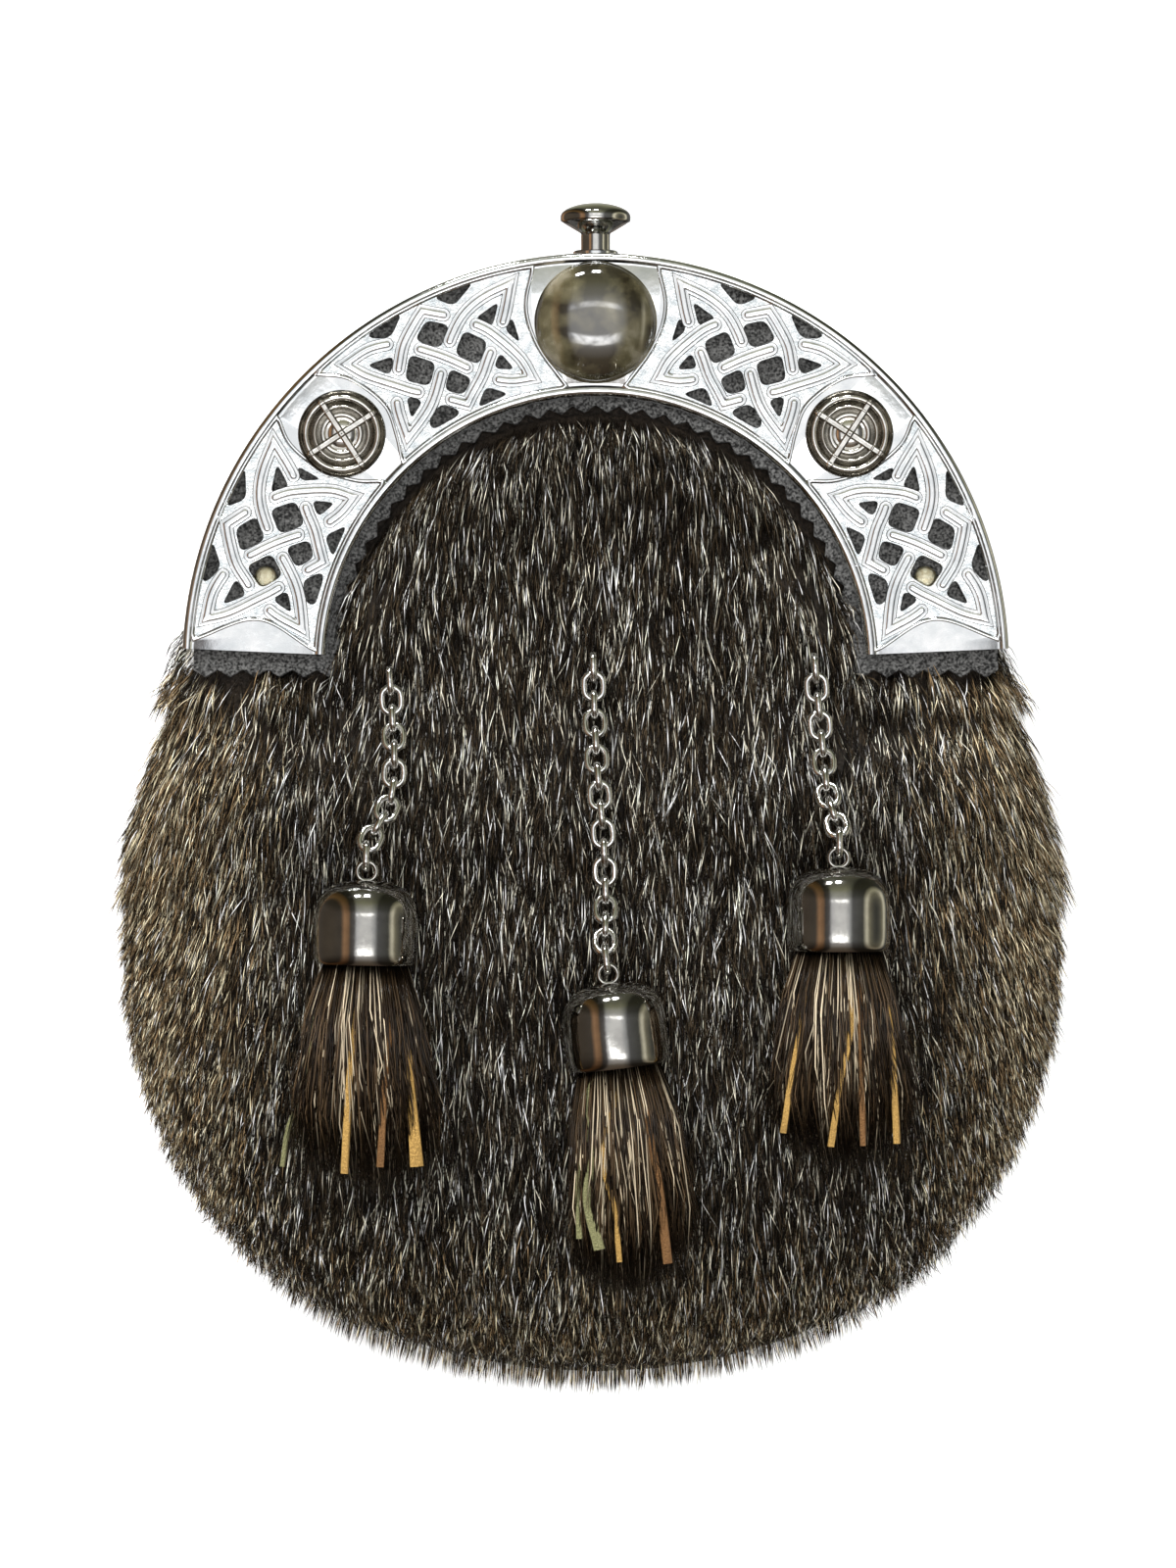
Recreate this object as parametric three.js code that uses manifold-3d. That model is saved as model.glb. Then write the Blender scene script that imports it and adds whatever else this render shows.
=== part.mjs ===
// A dress sporran pouch lying on its back: fur front, pierced arched cantle, three chains with tassels.
// Millimetres, +Z up. The front faces +Z and the clasp knob points to +Y.
import * as THREE from 'three';
import { mergeVertices } from 'three/addons/utils/BufferGeometryUtils.js';
import Module from 'manifold-3d';

const wasm = await Module();
wasm.setup();

// ---------------------------------------------------------------- driving dimensions
// Lengths along Y are measured from the centre of the cantle's arch.
const gap = 0.3;
const archToOrigin = 25.5;                 // the arch's centre lies this far above the part's origin

const cantleOuter = 81;
const cantleInner = 53.7;
const cantleMiddle = (cantleOuter + cantleInner) / 2;
const cantleEnd = 87.5;                    // degrees from the top to each end of the arch
const plateBottom = 29.65;
const plateThick = 2.2;
const floorThick = 1.2;                    // recessed metal inside the panels
const lineRise = 0.7;                      // raised border lines
const borderWidth = 1.3;
const strandWidth = 2.1;

const leather = 2;
const backingBottom = 27.3;
const backingOuter = 79;
const backingTooth = { inner: 49.9, depth: 1.5, pitch: 4.5 };
const tab = { low: -0.6, tooth: 1.5 };

const furWall = 4.5;
const furRim = { upper: 22.4, lower: 10 }; // height of the hide's lower edge
const ledge = 27;                          // the hide is pressed flat under the cantle
const archFur = 33.5;
const bellyFur = 40;
const pole = { x: 0, y: -40 };             // the pouch's rings close in on this point
const upperRadius = 78;

const gussetInset = 2.5;
const backLift = 7.3;                      // the strap loops hold the upper back this far off the ground

const knob = { z: 21.5, neck: 2.95, travel: 3, head: 7, headLow: 85.9, top: 91.8 };
const clasp = {
  half: 6.6, low: 66, high: 80.6, halfDepth: 5.1,
  collarHigh: 82.3, collarLow: 78.3, collar: 4.3, boreLow: 68.5,
};

const capRadius = 10;
const capLength = 16.2;
const capLie = 10.7;                       // the caps' axes lie this far above the fur
const eye = { radius: 1.85, wire: 0.5, rise: 1.7 };
const chainLead = 4.5;                     // the chain leaves its cap almost straight for this length
const chainSag = 0.9;
const link = { width: 4.7, length: 6, wire: 1, pitch: 3.7, lie: 3.4 };

const rad = THREE.MathUtils.degToRad;
const mix = THREE.MathUtils.lerp;
const smooth = THREE.MathUtils.smoothstep;

// ---------------------------------------------------------------- materials
const metal = (color, roughness) => new THREE.MeshStandardMaterial({ color, roughness, metalness: 1 });
const hide = (color, roughness) => new THREE.MeshStandardMaterial({ color, roughness, metalness: 0 });
const silver = metal(0xd8dade, 0.12);
const hematite = metal(0x5c5a58, 0.06);
const gunmetal = metal(0x6a6864, 0.18);
const creamBrass = metal(0xcfc49a, 0.4);
const blackLeather = hide(0x1c1c1e, 0.65);
const darkFur = hide(0x3a322b, 0.85);

// ---------------------------------------------------------------- helpers
// A geometry with only positions and shared vertices becomes a solid that can be cut and joined.
function solid(geometry) {
  const bare = geometry.clone();
  bare.deleteAttribute('normal');
  bare.deleteAttribute('uv');
  const merged = mergeVertices(bare, 1e-4);
  const vertProperties = new Float32Array(merged.attributes.position.array);
  const triVerts = new Uint32Array(merged.index.array);
  return new wasm.Manifold(new wasm.Mesh({ numProp: 3, vertProperties, triVerts }));
}

function geometryOf(body) {
  const mesh = body.getMesh();
  const geometry = new THREE.BufferGeometry();
  geometry.setAttribute('position', new THREE.BufferAttribute(new Float32Array(mesh.vertProperties), 3));
  geometry.setIndex(new THREE.BufferAttribute(new Uint32Array(mesh.triVerts), 1));
  geometry.computeVertexNormals();
  return geometry;
}

const joined = (geometries) => geometries.map(solid).reduce((whole, next) => whole.add(next));

// A point of the arch: degrees from the top, positive to the left, and the radius.
function archPoint(degrees, radius) {
  return new THREE.Vector2(-Math.sin(rad(degrees)) * radius, Math.cos(rad(degrees)) * radius);
}

function arc(radius, from, to, step = 3.5) {
  const count = Math.max(1, Math.ceil(Math.abs(to - from) / step));
  return Array.from({ length: count + 1 }, (_, i) => archPoint(mix(from, to, i / count), radius));
}

function prism(points, low, high) {
  const settings = { depth: high - low, bevelEnabled: false };
  const geometry = new THREE.ExtrudeGeometry(new THREE.Shape(points), settings);
  geometry.translate(0, 0, low);
  return geometry;
}

const band = (inner, outer, from, to, low, high) =>
  prism([...arc(outer, from, to), ...arc(inner, to, from)], low, high);

const block = (x0, x1, y0, y1, z0, z1) => solid(box(x0, x1, y0, y1, z0, z1));

function box(x0, x1, y0, y1, z0, z1) {
  const geometry = new THREE.BoxGeometry(x1 - x0, y1 - y0, z1 - z0);
  geometry.translate((x0 + x1) / 2, (y0 + y1) / 2, (z0 + z1) / 2);
  return geometry;
}

// Neighbouring rings of points are joined into one closed skin; a ring of one repeated point is a pole.
function loft(rings) {
  const positions = [];
  const same = (a, b) => Math.hypot(a[0] - b[0], a[1] - b[1], a[2] - b[2]) < 1e-5;
  const triangle = (a, b, c) => {
    if (!same(a, b) && !same(b, c) && !same(c, a)) positions.push(...a, ...b, ...c);
  };
  for (let k = 0; k + 1 < rings.length; k += 1) {
    const [lower, upper] = [rings[k], rings[k + 1]];
    lower.forEach((point, i) => {
      const next = (i + 1) % lower.length;
      triangle(point, lower[next], upper[next]);
      triangle(point, upper[next], upper[i]);
    });
  }
  const geometry = new THREE.BufferGeometry();
  geometry.setAttribute('position', new THREE.Float32BufferAttribute(positions, 3));
  return mergeVertices(geometry, 1e-4);
}

const parts = new THREE.Group();
parts.position.y = archToOrigin;

function add(name, geometry, material) {
  const mesh = new THREE.Mesh(geometry, material.clone());
  mesh.name = name;
  parts.add(mesh);
  return mesh;
}

// ---------------------------------------------------------------- the pouch's outline
// Half-width of the fur at each height below the arch's centre; above it the outline is a circle.
const outlineRows = [
  { y: 0, half: 78.4 },
  { y: -18, half: 86.5 },
  { y: -36, half: 90.6 },
  { y: -50, half: 92 },
  { y: -67, half: 91.5 },
  { y: -80, half: 88.7 },
  { y: -95, half: 83.6 },
  { y: -108, half: 75.8 },
  { y: -117, half: 68.5 },
  { y: -125, half: 60 },
  { y: -132, half: 49 },
  { y: -138, half: 33 },
  { y: -141.6, half: 17 },
  { y: -142.8, half: 0 },
];

function halfOutline() {
  const upper = arc(upperRadius, 0, -88, 4);
  const lower = outlineRows.map((row) => new THREE.Vector2(row.half, row.y));
  return [...upper, ...new THREE.SplineCurve(lower).getPoints(60)];
}

const outlinePolar = halfOutline()
  .map((p) => ({ angle: Math.atan2(p.x, p.y - pole.y), radius: Math.hypot(p.x, p.y - pole.y) }))
  .sort((a, b) => a.angle - b.angle);

function outlineRadius(angle) {
  const turn = Math.abs(angle);
  const k = Math.max(1, outlinePolar.findIndex((row) => row.angle >= turn));
  const low = outlinePolar[k - 1];
  const high = outlinePolar[k];
  return mix(low.radius, high.radius, (turn - low.angle) / Math.max(1e-9, high.angle - low.angle));
}

const outlineSteps = 52;
const outlineAngles = Array.from({ length: outlineSteps },
  (_, i) => Math.PI - (2 * Math.PI * i) / outlineSteps);

// ---------------------------------------------------------------- the fur's height
const dents = [
  { x: -46.4, y: -52, depth: 2.6, reach: 15 },
  { x: 2, y: -72, depth: 2.6, reach: 15 },
  { x: 47.8, y: -49, depth: 2.6, reach: 15 },
];

function crownHeight(x, y) {
  const arch = mix(archFur, ledge, smooth(Math.hypot(x, y), 43, 49.5));
  const crown = mix(arch, bellyFur, smooth(-y, 3, 30));
  const dentAt = (d) => d.depth * Math.exp(-((x - d.x) ** 2 + (y - d.y) ** 2) / d.reach ** 2);
  return dents.reduce((z, dent) => z - dentAt(dent), crown);
}

const rimHeight = (y) => mix(furRim.upper, furRim.lower, smooth(-y, -8, 25));

// inset moves the skin in from the outline, and drop moves its crown down.
function furPoint(angle, share, inset, drop) {
  const reach = outlineRadius(angle) - inset;
  const x = pole.x + Math.sin(angle) * reach * share;
  const y = pole.y + Math.cos(angle) * reach * share;
  const rim = rimHeight(pole.y + Math.cos(angle) * outlineRadius(angle));
  const fullness = mix(14, 3.4, smooth(-y, 0, 40));
  const rise = Math.sqrt(Math.max(0, 1 - share ** fullness));
  return [x, y, rim + Math.max(0, crownHeight(x, y) - drop - rim) * rise];
}

function furHeight(x, y) {
  const angle = Math.atan2(x - pole.x, y - pole.y);
  const share = Math.hypot(x - pole.x, y - pole.y) / outlineRadius(angle);
  return furPoint(angle, share, 0, 0)[2];
}

function furRing(share, inset, drop) {
  return outlineAngles.map((angle) => furPoint(angle, share, inset, drop));
}

// The room around the clasp's housing, between two heights.
const claspRoom = (low, high) => box(-clasp.half - gap, clasp.half + gap, 60, 90, low, high);

function furFront() {
  const innerShares = [0, 0.3, 0.5, 0.66, 0.8, 0.9, 0.97, 1];
  const outerShares = [1, 0.985, 0.95, 0.9, 0.84, 0.77, 0.7, 0.62, 0.53, 0.42, 0.28, 0.14, 0];
  const skin = loft([
    ...innerShares.map((share) => furRing(share, furWall, furWall)),
    ...outerShares.map((share) => furRing(share, 0, 0)),
  ]);
  const underCantle = band(backingTooth.inner - gap, cantleOuter + 9, -92.4, 92.4, ledge, bellyFur + 5);
  const claspNotch = claspRoom(10, ledge + 5);
  return geometryOf(solid(skin).subtract(solid(underCantle)).subtract(solid(claspNotch)));
}

// ---------------------------------------------------------------- leather back and gusset
const backHeight = (y) => backLift * smooth(y, -70, -12);

function edgePoint(angle, inset, share = 1) {
  const reach = (outlineRadius(angle) - inset) * share;
  return { x: pole.x + Math.sin(angle) * reach, y: pole.y + Math.cos(angle) * reach };
}

function backPanel() {
  const shares = [0, 0.35, 0.7, 1];
  const ring = (share, lift) => outlineAngles.map((angle) => {
    const p = edgePoint(angle, gussetInset, share);
    return [p.x, p.y, backHeight(p.y) + lift];
  });
  const under = shares.map((share) => ring(share, 0));
  const over = shares.map((share) => ring(share, leather)).reverse();
  return loft([...under, ...over]);
}

function gusset() {
  const ring = (inset, height) => outlineAngles.map((angle) => {
    const p = edgePoint(angle, inset);
    const rimY = edgePoint(angle, 0).y;
    return [p.x, p.y, height(p.y, rimY)];
  });
  const low = (y) => backHeight(y) + leather + gap;
  const high = (y, rimY) => rimHeight(rimY) - gap;
  const inner = gussetInset + leather;
  const rings = [ring(inner, low), ring(gussetInset, low), ring(gussetInset, high), ring(inner, high)];
  const wall = loft([...rings, rings[0]]);
  const claspNotch = claspRoom(knob.z - clasp.halfDepth - gap, ledge);
  return geometryOf(solid(wall).subtract(solid(claspNotch)));
}

// A flat leather strap whose raised middle lets the waist strap pass under it.
const loop = { x: 32, y: 34, width: 22, half: 31, footEnd: 20.5, tunnelHalf: 17.5, slant: 1.2 };

function strapLoop(side) {
  const foot = backLift - leather - gap;
  const under = [[loop.half, foot], [loop.footEnd, foot], [loop.tunnelHalf, 0]];
  const over = [[loop.tunnelHalf - loop.slant, leather], [loop.footEnd - loop.slant, foot + leather],
    [loop.half, foot + leather]];
  const mirrored = (rows) => rows.map(([y, z]) => [-y, z]).reverse();
  const outline = [...mirrored(under).reverse(), ...under.slice().reverse(), ...over.slice().reverse(),
    ...mirrored(over).reverse()].map(([y, z]) => new THREE.Vector2(y, z));
  const geometry = prism(outline, 0, loop.width);
  geometry.rotateX(Math.PI / 2);
  geometry.rotateZ(Math.PI / 2);
  geometry.translate(side * loop.x - loop.width / 2, loop.y, 0);
  return geometry;
}

// ---------------------------------------------------------------- cantle backing
const rivet = { radius: 2.2, height: 0.75, sunk: 0.9, degrees: 74.8, out: 67.1 };

// Its inner edge and the two tabs under the leg ends are pinked.
function cantleBacking() {
  const teeth = Math.round((Math.PI * backingTooth.inner) / backingTooth.pitch);
  const inner = Array.from({ length: 2 * teeth + 1 }, (_, i) =>
    archPoint(mix(-90, 90, i / (2 * teeth)), backingTooth.inner + (i % 2) * backingTooth.depth));
  const tabTeeth = Math.round((backingOuter - backingTooth.inner) / backingTooth.pitch);
  const tabEdge = (side) => Array.from({ length: 2 * tabTeeth + 1 }, (_, i) => new THREE.Vector2(
    side * mix(backingTooth.inner, backingOuter, i / (2 * tabTeeth)), tab.low - (i % 2) * tab.tooth));
  const outer = arc(backingOuter, 90, -90, 4);
  const outline = [...inner, ...tabEdge(-1), ...outer, ...tabEdge(1).reverse()];
  const sheet = solid(prism(outline, backingBottom, backingBottom + leather));
  const recess = (side) => {
    const well = new THREE.CylinderGeometry(rivet.radius + gap, rivet.radius + gap, 2 * rivet.sunk, 16);
    const at = archPoint(side * rivet.degrees, rivet.out);
    well.rotateX(Math.PI / 2);
    well.translate(at.x, at.y, backingBottom + leather);
    return solid(well);
  };
  return geometryOf(sheet.subtract(recess(1)).subtract(recess(-1)));
}

// ---------------------------------------------------------------- the interlace
// One closed strand. along is degrees away from the top of the arch, out is millimetres outwards, both from
// the panel's middle. Each row of shapes runs between two sharp tips; the turned ones are drawn again
// rotated by half a turn.
const strandShapes = [
  { turned: false, rows: [[-13.6, -9.5], [-9.8, -9.1], [-6.6, -7.6], [-4.8, -6.1], [0, 0], [4.8, 6.1],
    [6.6, 7.6], [9.8, 9.1], [13.6, 9.5]] },
  { turned: false, rows: [[-13.5, 9.5], [-9.7, 8.5], [-6.9, 7.3], [-4.6, 5.6], [-2, 2.7], [0, 0], [2, -2.7],
    [4.6, -5.6], [6.9, -7.3], [9.7, -8.5], [13.5, -9.5]] },
  { turned: true, rows: [[13.6, 9.5], [12.3, 5.2], [9.4, 0.1], [7.4, -2.8], [4.6, -5.6], [3.1, -7.2],
    [0, -10.1]] },
  { turned: true, rows: [[0, -10.1], [-1.9, -8.6], [-4.8, -6.1], [-7, -3.2], [-9.4, -0.1], [-11.5, 3.8],
    [-13.5, 9.5]] },
];

// The space inside the strand's outer edge is open, and so are five windows around it.
const openStar = [[-13.5, 9.5], [-9.4, -0.1], [-13.6, -9.5], [-4.8, -6.1], [0, -10.1], [4.6, -5.6],
  [13.5, -9.5], [9.4, 0.1], [13.6, 9.5], [4.8, 6.1], [0, 10.1], [-4.6, 5.6]];
const openWindows = [
  [[3, 11.5], [8.4, 11.5], [8.2, 10.4], [5.9, 8.7]],
  [[-2.4, 11.5], [-8.1, 11.5], [-4.5, 8.7]],
  [[-10.9, 1.1], [-12.5, 3], [-12.8, -2]],
  [[8.2, -9.6], [4.5, -7.8], [2.8, -10.2]],
  [[-1.9, -11], [-4.6, -8.6], [-7.9, -10.4]],
];

// Each panel's two ends, as degrees from the top at a radius, from the outer border to the inner one.
const panelBorder = { outer: 78.9, inner: 56.2 };
const panels = [
  { middle: 26, stretch: 1,
    near: [[9.3, 78.9], [11.3, 71.7], [10.6, 64], [6.3, 56.2]],
    far: [[43.2, 78.9], [40.2, 74], [38.6, 66], [40.3, 60], [43, 56.2]] },
  { middle: 69, stretch: 1.03,
    near: [[52.3, 78.9], [54.3, 73.9], [54.6, 66.7], [52.7, 59.8], [49.3, 56.2]],
    far: [[85.8, 78.9], [81.7, 66.8], [86.3, 56.2]] },
];

// A strip of even width along a line of points, with its ends carried past the last points.
function strip(line, width) {
  const side = (sign) => line.map((point, i) => {
    const before = line[Math.max(0, i - 1)];
    const after = line[Math.min(line.length - 1, i + 1)];
    const along = after.clone().sub(before).normalize();
    const carry = i === 0 ? -width / 3 : i === line.length - 1 ? width / 3 : 0;
    return point.clone().addScaledVector(along, carry)
      .add(new THREE.Vector2(-along.y, along.x).multiplyScalar((sign * width) / 2));
  });
  return [...side(1), ...side(-1).reverse()];
}

function cantlePanel(panel, side) {
  const place = ([along, out]) =>
    archPoint(side * (panel.middle + along * panel.stretch), cantleMiddle + out);
  const curve = (rows, steps) => new THREE.SplineCurve(rows).getPoints(steps);
  const edge = (rows) => curve(rows.map(([degrees, radius]) => archPoint(side * degrees, radius)), 8);
  const [nearTop, nearLow] = [panel.near[0][0], panel.near[panel.near.length - 1][0]];
  const [farTop, farLow] = [panel.far[0][0], panel.far[panel.far.length - 1][0]];
  const outline = [
    ...arc(panelBorder.outer, side * nearTop, side * farTop).slice(1, -1), ...edge(panel.far),
    ...arc(panelBorder.inner, side * farLow, side * nearLow).slice(1, -1), ...edge(panel.near).reverse(),
  ];
  const strandTop = plateBottom + plateThick + lineRise / 2;
  const strands = strandShapes.flatMap(({ turned, rows }) => {
    const shapes = turned ? [rows, rows.map(([along, out]) => [-along, -out])] : [rows];
    return shapes.map((shape) => {
      const line = curve(shape.map(place), shape.length + 2);
      return prism(strip(line, strandWidth), plateBottom, strandTop);
    });
  });
  const openings = [openStar, ...openWindows]
    .map((rows) => prism(rows.map(place), plateBottom - 1, strandTop));
  const recess = prism(outline, plateBottom + floorThick, strandTop + 1);
  return { recess: solid(recess), openings: joined(openings), strands: joined(strands) };
}

// ---------------------------------------------------------------- cantle
// A round rod on the knob's axis.
function rod(radius, low, high) {
  const geometry = new THREE.CylinderGeometry(radius, radius, high - low, 24);
  geometry.translate(0, (low + high) / 2, knob.z);
  return solid(geometry);
}

// The plate and the clasp's housing behind its top are soldered into one solid.
function cantle() {
  const top = plateBottom + plateThick;
  let metalwork = solid(band(cantleInner, cantleOuter, -cantleEnd, cantleEnd, plateBottom, top));
  const sides = [1, -1].flatMap((side) => panels.map((panel) => cantlePanel(panel, side)));
  sides.forEach((panel) => {
    metalwork = metalwork.subtract(panel.recess).subtract(panel.openings).add(panel.strands);
  });
  [cantleOuter - borderWidth, cantleInner].forEach((inner) => {
    const line = band(inner, inner + borderWidth, -cantleEnd, cantleEnd, top - 1, top + lineRise);
    metalwork = metalwork.add(solid(line));
  });
  const housing = block(-clasp.half, clasp.half, clasp.low, clasp.high, knob.z - clasp.halfDepth,
    knob.z + clasp.halfDepth);
  const bridge = block(-clasp.half, clasp.half, backingOuter + gap, clasp.high, knob.z, top - 1);
  const collar = rod(clasp.collar, clasp.collarLow, clasp.collarHigh);
  const bore = rod(knob.neck + gap, clasp.boreLow, clasp.collarHigh + 1);
  return geometryOf(metalwork.add(housing).add(bridge).add(collar).subtract(bore));
}

// ---------------------------------------------------------------- round metal pieces
function turned(rows, steps) {
  return new THREE.LatheGeometry(rows.map(([radius, height]) => new THREE.Vector2(radius, height)), steps);
}

function standOnPlate(geometry, at, lift) {
  geometry.rotateX(Math.PI / 2);
  geometry.translate(at.x, at.y, plateBottom + plateThick + gap + lift);
  return geometry;
}

const dome = { radius: 12, rise: 6.4, rim: 0.9 };

function centerDome() {
  const arcRows = Array.from({ length: 7 }, (_, i) => {
    const turn = (i / 6) * (Math.PI / 2);
    return [dome.radius * Math.cos(turn), dome.rim + (dome.rise - dome.rim) * Math.sin(turn)];
  });
  arcRows[6][0] = 0;
  return standOnPlate(turned([[0, 0], [dome.radius, 0], ...arcRows], 32), archPoint(0, cantleMiddle), 0);
}

const bossDegrees = 47.5;
const bossRows = [[0, 0], [8.6, 0], [8.6, 1.3], [7.9, 1.9], [7, 1.9], [6.7, 1.2], [4.3, 1.2], [4.1, 1.9],
  [3.2, 1.9], [3, 1.2], [0, 1.2]];

function boss(side) {
  const disc = standOnPlate(turned(bossRows, 24), new THREE.Vector2(), 0);
  const low = plateBottom + plateThick + gap + 0.4;
  const bars = [block(-7.2, 7.2, -0.8, 0.8, low, low + 1.9), block(-0.8, 0.8, -7.2, 7.2, low, low + 1.9)];
  const whole = bars.reduce((sum, bar) => sum.add(bar), solid(disc));
  const at = archPoint(side * bossDegrees, cantleMiddle);
  return geometryOf(whole.rotate([0, 0, side * 33]).translate([at.x, at.y, 0]));
}

function rivetHead(side) {
  const rows = [[0, 0], [rivet.radius, 0], [rivet.radius, 0.3], [1.5, 0.65], [0, rivet.height]];
  const geometry = turned(rows, 16);
  const at = archPoint(side * rivet.degrees, rivet.out);
  geometry.rotateX(Math.PI / 2);
  geometry.translate(at.x, at.y, backingBottom + leather - rivet.sunk + gap / 2);
  return geometry;
}

function claspKnob() {
  const low = clasp.boreLow + knob.travel + gap;
  const { neck, head, headLow, top } = knob;
  const rows = [[0, low], [neck, low], [neck, headLow - 0.4], [3.6, headLow], [4.8, headLow + 0.7],
    [head, headLow + 2.2], [head, headLow + 3.6], [5.9, headLow + 4.5], [3.6, top - 0.4], [0, top]];
  const geometry = turned(rows, 24);
  geometry.translate(0, 0, knob.z);
  return geometry;
}

// ---------------------------------------------------------------- chains and tassels
// Each chain runs from its fixing in the fur to the top of its cap; lean is degrees from straight down.
const tassels = [
  { name: 'left', x: -44.2, y: -41.6, lean: -1, spread: [7.2, 14.6], length: 45, bend: -2, droop: 4,
    route: [[-40.3, 0.4], [-39.5, -10.8], [-39.1, -18.4], [-39.8, -26.1]] },
  { name: 'middle', x: 2.6, y: -61.4, lean: 7, spread: [7.2, 12.6], length: 46, bend: 3, droop: 6,
    route: [[-0.5, 0.6], [-0.3, -7.4], [0.2, -18.3], [0.8, -25.8], [1.5, -34], [1.9, -45.9]] },
  { name: 'right', x: 46.9, y: -39, lean: 0, spread: [7.2, 14.6], length: 44, bend: -2, droop: 4,
    route: [[42.6, 1.4], [43.3, -7], [44.3, -17.6], [45, -25]] },
];

function linkGeometry() {
  const bar = link.wire / 2;
  const bow = link.width / 2 - bar;
  const geometry = new THREE.TorusGeometry(bow, bar, 5, 10);
  geometry.rotateZ(Math.PI / 10);
  const position = geometry.attributes.position;
  for (let i = 0; i < position.count; i += 1) {
    const y = position.getY(i);
    position.setY(i, y + (Math.sign(y) * (link.length - link.width)) / 2);
  }
  return geometry;
}

// Along is the direction of the link's long axis; roll turns it about that axis.
function placeLink(mesh, at, along, roll) {
  const across = new THREE.Vector3().crossVectors(along, new THREE.Vector3(0, 0, 1)).normalize();
  const face = new THREE.Vector3().crossVectors(across, along);
  mesh.quaternion.setFromRotationMatrix(new THREE.Matrix4().makeBasis(across, along, face));
  mesh.rotateY(roll);
  mesh.position.copy(at);
}

function capFrame({ x, y, lean }) {
  const down = new THREE.Vector3(Math.sin(rad(lean)), -Math.cos(rad(lean)), 0);
  const steps = [-4, 0, 4, 8, 12, 16, 20];
  const under = steps.map((step) => new THREE.Vector3(x, y, 0).addScaledVector(down, step));
  const z = Math.max(...under.map((point) => furHeight(point.x, point.y))) + capLie;
  return { top: new THREE.Vector3(x, y, z), down };
}

function addChain(tassel) {
  const { top, down } = capFrame(tassel);
  const eyeCentre = top.clone().addScaledVector(down, -eye.rise);
  const onFur = tassel.route.map(([x, y]) => new THREE.Vector3(x, y, furHeight(x, y) + link.lie));
  const leaving = eyeCentre.clone().addScaledVector(down, -chainLead);
  leaving.z -= chainSag;
  const curve = new THREE.CatmullRomCurve3([eyeCentre, leaving, ...onFur.reverse()]);
  const length = curve.getLength();
  const count = Math.floor((length - link.length / 2) / link.pitch) + 1;
  for (let i = 0; i < count; i += 1) {
    const distance = Math.min(length, link.pitch * (i + 0.8));
    const share = distance / length;
    const number = String(count - i).padStart(2, '0');
    const mesh = add(`chain_${tassel.name}_link_${number}`, linkGeometry(), gunmetal);
    placeLink(mesh, curve.getPointAt(share), curve.getTangentAt(share), i % 2 ? 0 : Math.PI / 2);
  }
}

// The cap is a bell, open below, with a small eye on top for the chain.
function capGeometry() {
  const rows = [[0, 0], [4.2, 0.15], [7.2, 1.3], [9.1, 3.6], [capRadius, 7.2], [capRadius, 13.2],
    [9.9, 14.6], [9.6, 15.7], [9.2, capLength], [8.95, 15.5], [9, 7.4], [8.2, 4.4], [6.5, 2.3],
    [3.9, 1.2], [0, 1.1]];
  const bell = turned(rows.map(([radius, depth]) => [radius, -depth]).reverse(), 20);
  const ring = new THREE.TorusGeometry(eye.radius, eye.wire, 6, 12);
  ring.translate(0, eye.rise, 0);
  return geometryOf(solid(bell).add(solid(ring).trimByPlane([0, 1, 0], -0.5)));
}

// The tassel's outer form fills the bell and flares below it, flattening where it lies on the fur.
function tasselGeometry({ spread, length, bend, droop }) {
  const [neck, flare] = spread;
  const inBell = [[0, 1.6], [3.6, 1.7], [6, 2.8], [7.7, 4.8], [8.5, 7.6], [8.6, capLength]];
  const below = [[0.2, mix(neck, flare, 0.45)], [0.45, mix(neck, flare, 0.75)], [0.75, flare],
    [0.92, flare * 0.86], [1, flare * 0.5]].map(([share, radius]) => [radius, capLength + share * length]);
  const rows = [...inBell, ...below, [0, capLength + length]];
  const geometry = turned(rows.map(([radius, depth]) => [radius, -depth]).reverse(), 16);
  const position = geometry.attributes.position;
  for (let i = 0; i < position.count; i += 1) {
    const share = Math.max(0, (-position.getY(i) - capLength) / length);
    const flatness = mix(1, 0.5, smooth(share, 0, 0.8));
    position.setX(i, position.getX(i) + bend * share * share);
    position.setZ(i, position.getZ(i) * flatness - droop * share * share);
  }
  return geometry;
}

function addTassel(tassel) {
  const { top, down } = capFrame(tassel);
  const turn = Math.atan2(down.x, -down.y);
  const pieces = [['cap', capGeometry(), gunmetal], ['fur', tasselGeometry(tassel), darkFur]];
  pieces.forEach(([part, geometry, finish]) => {
    const mesh = add(`tassel_${part}_${tassel.name}`, geometry, finish);
    mesh.rotation.z = turn;
    mesh.position.copy(top);
  });
}

// ---------------------------------------------------------------- assembly
add('fur_front', furFront(), darkFur);
add('gusset', gusset(), blackLeather);
add('back_panel', backPanel(), blackLeather);
add('strap_loop_left', strapLoop(-1), blackLeather);
add('strap_loop_right', strapLoop(1), blackLeather);
add('cantle_backing', cantleBacking(), blackLeather);
add('cantle', cantle(), silver);
add('center_dome', centerDome(), hematite);
add('boss_left', boss(1), gunmetal);
add('boss_right', boss(-1), gunmetal);
add('rivet_left', rivetHead(1), creamBrass);
add('rivet_right', rivetHead(-1), creamBrass);
add('clasp_knob', claspKnob(), gunmetal);
tassels.forEach(addTassel);
tassels.forEach(addChain);

export default parts;
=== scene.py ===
import math
import bmesh
import bpy
import numpy as np
from mathutils import Matrix, Vector
from mathutils.bvhtree import BVHTree


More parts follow.
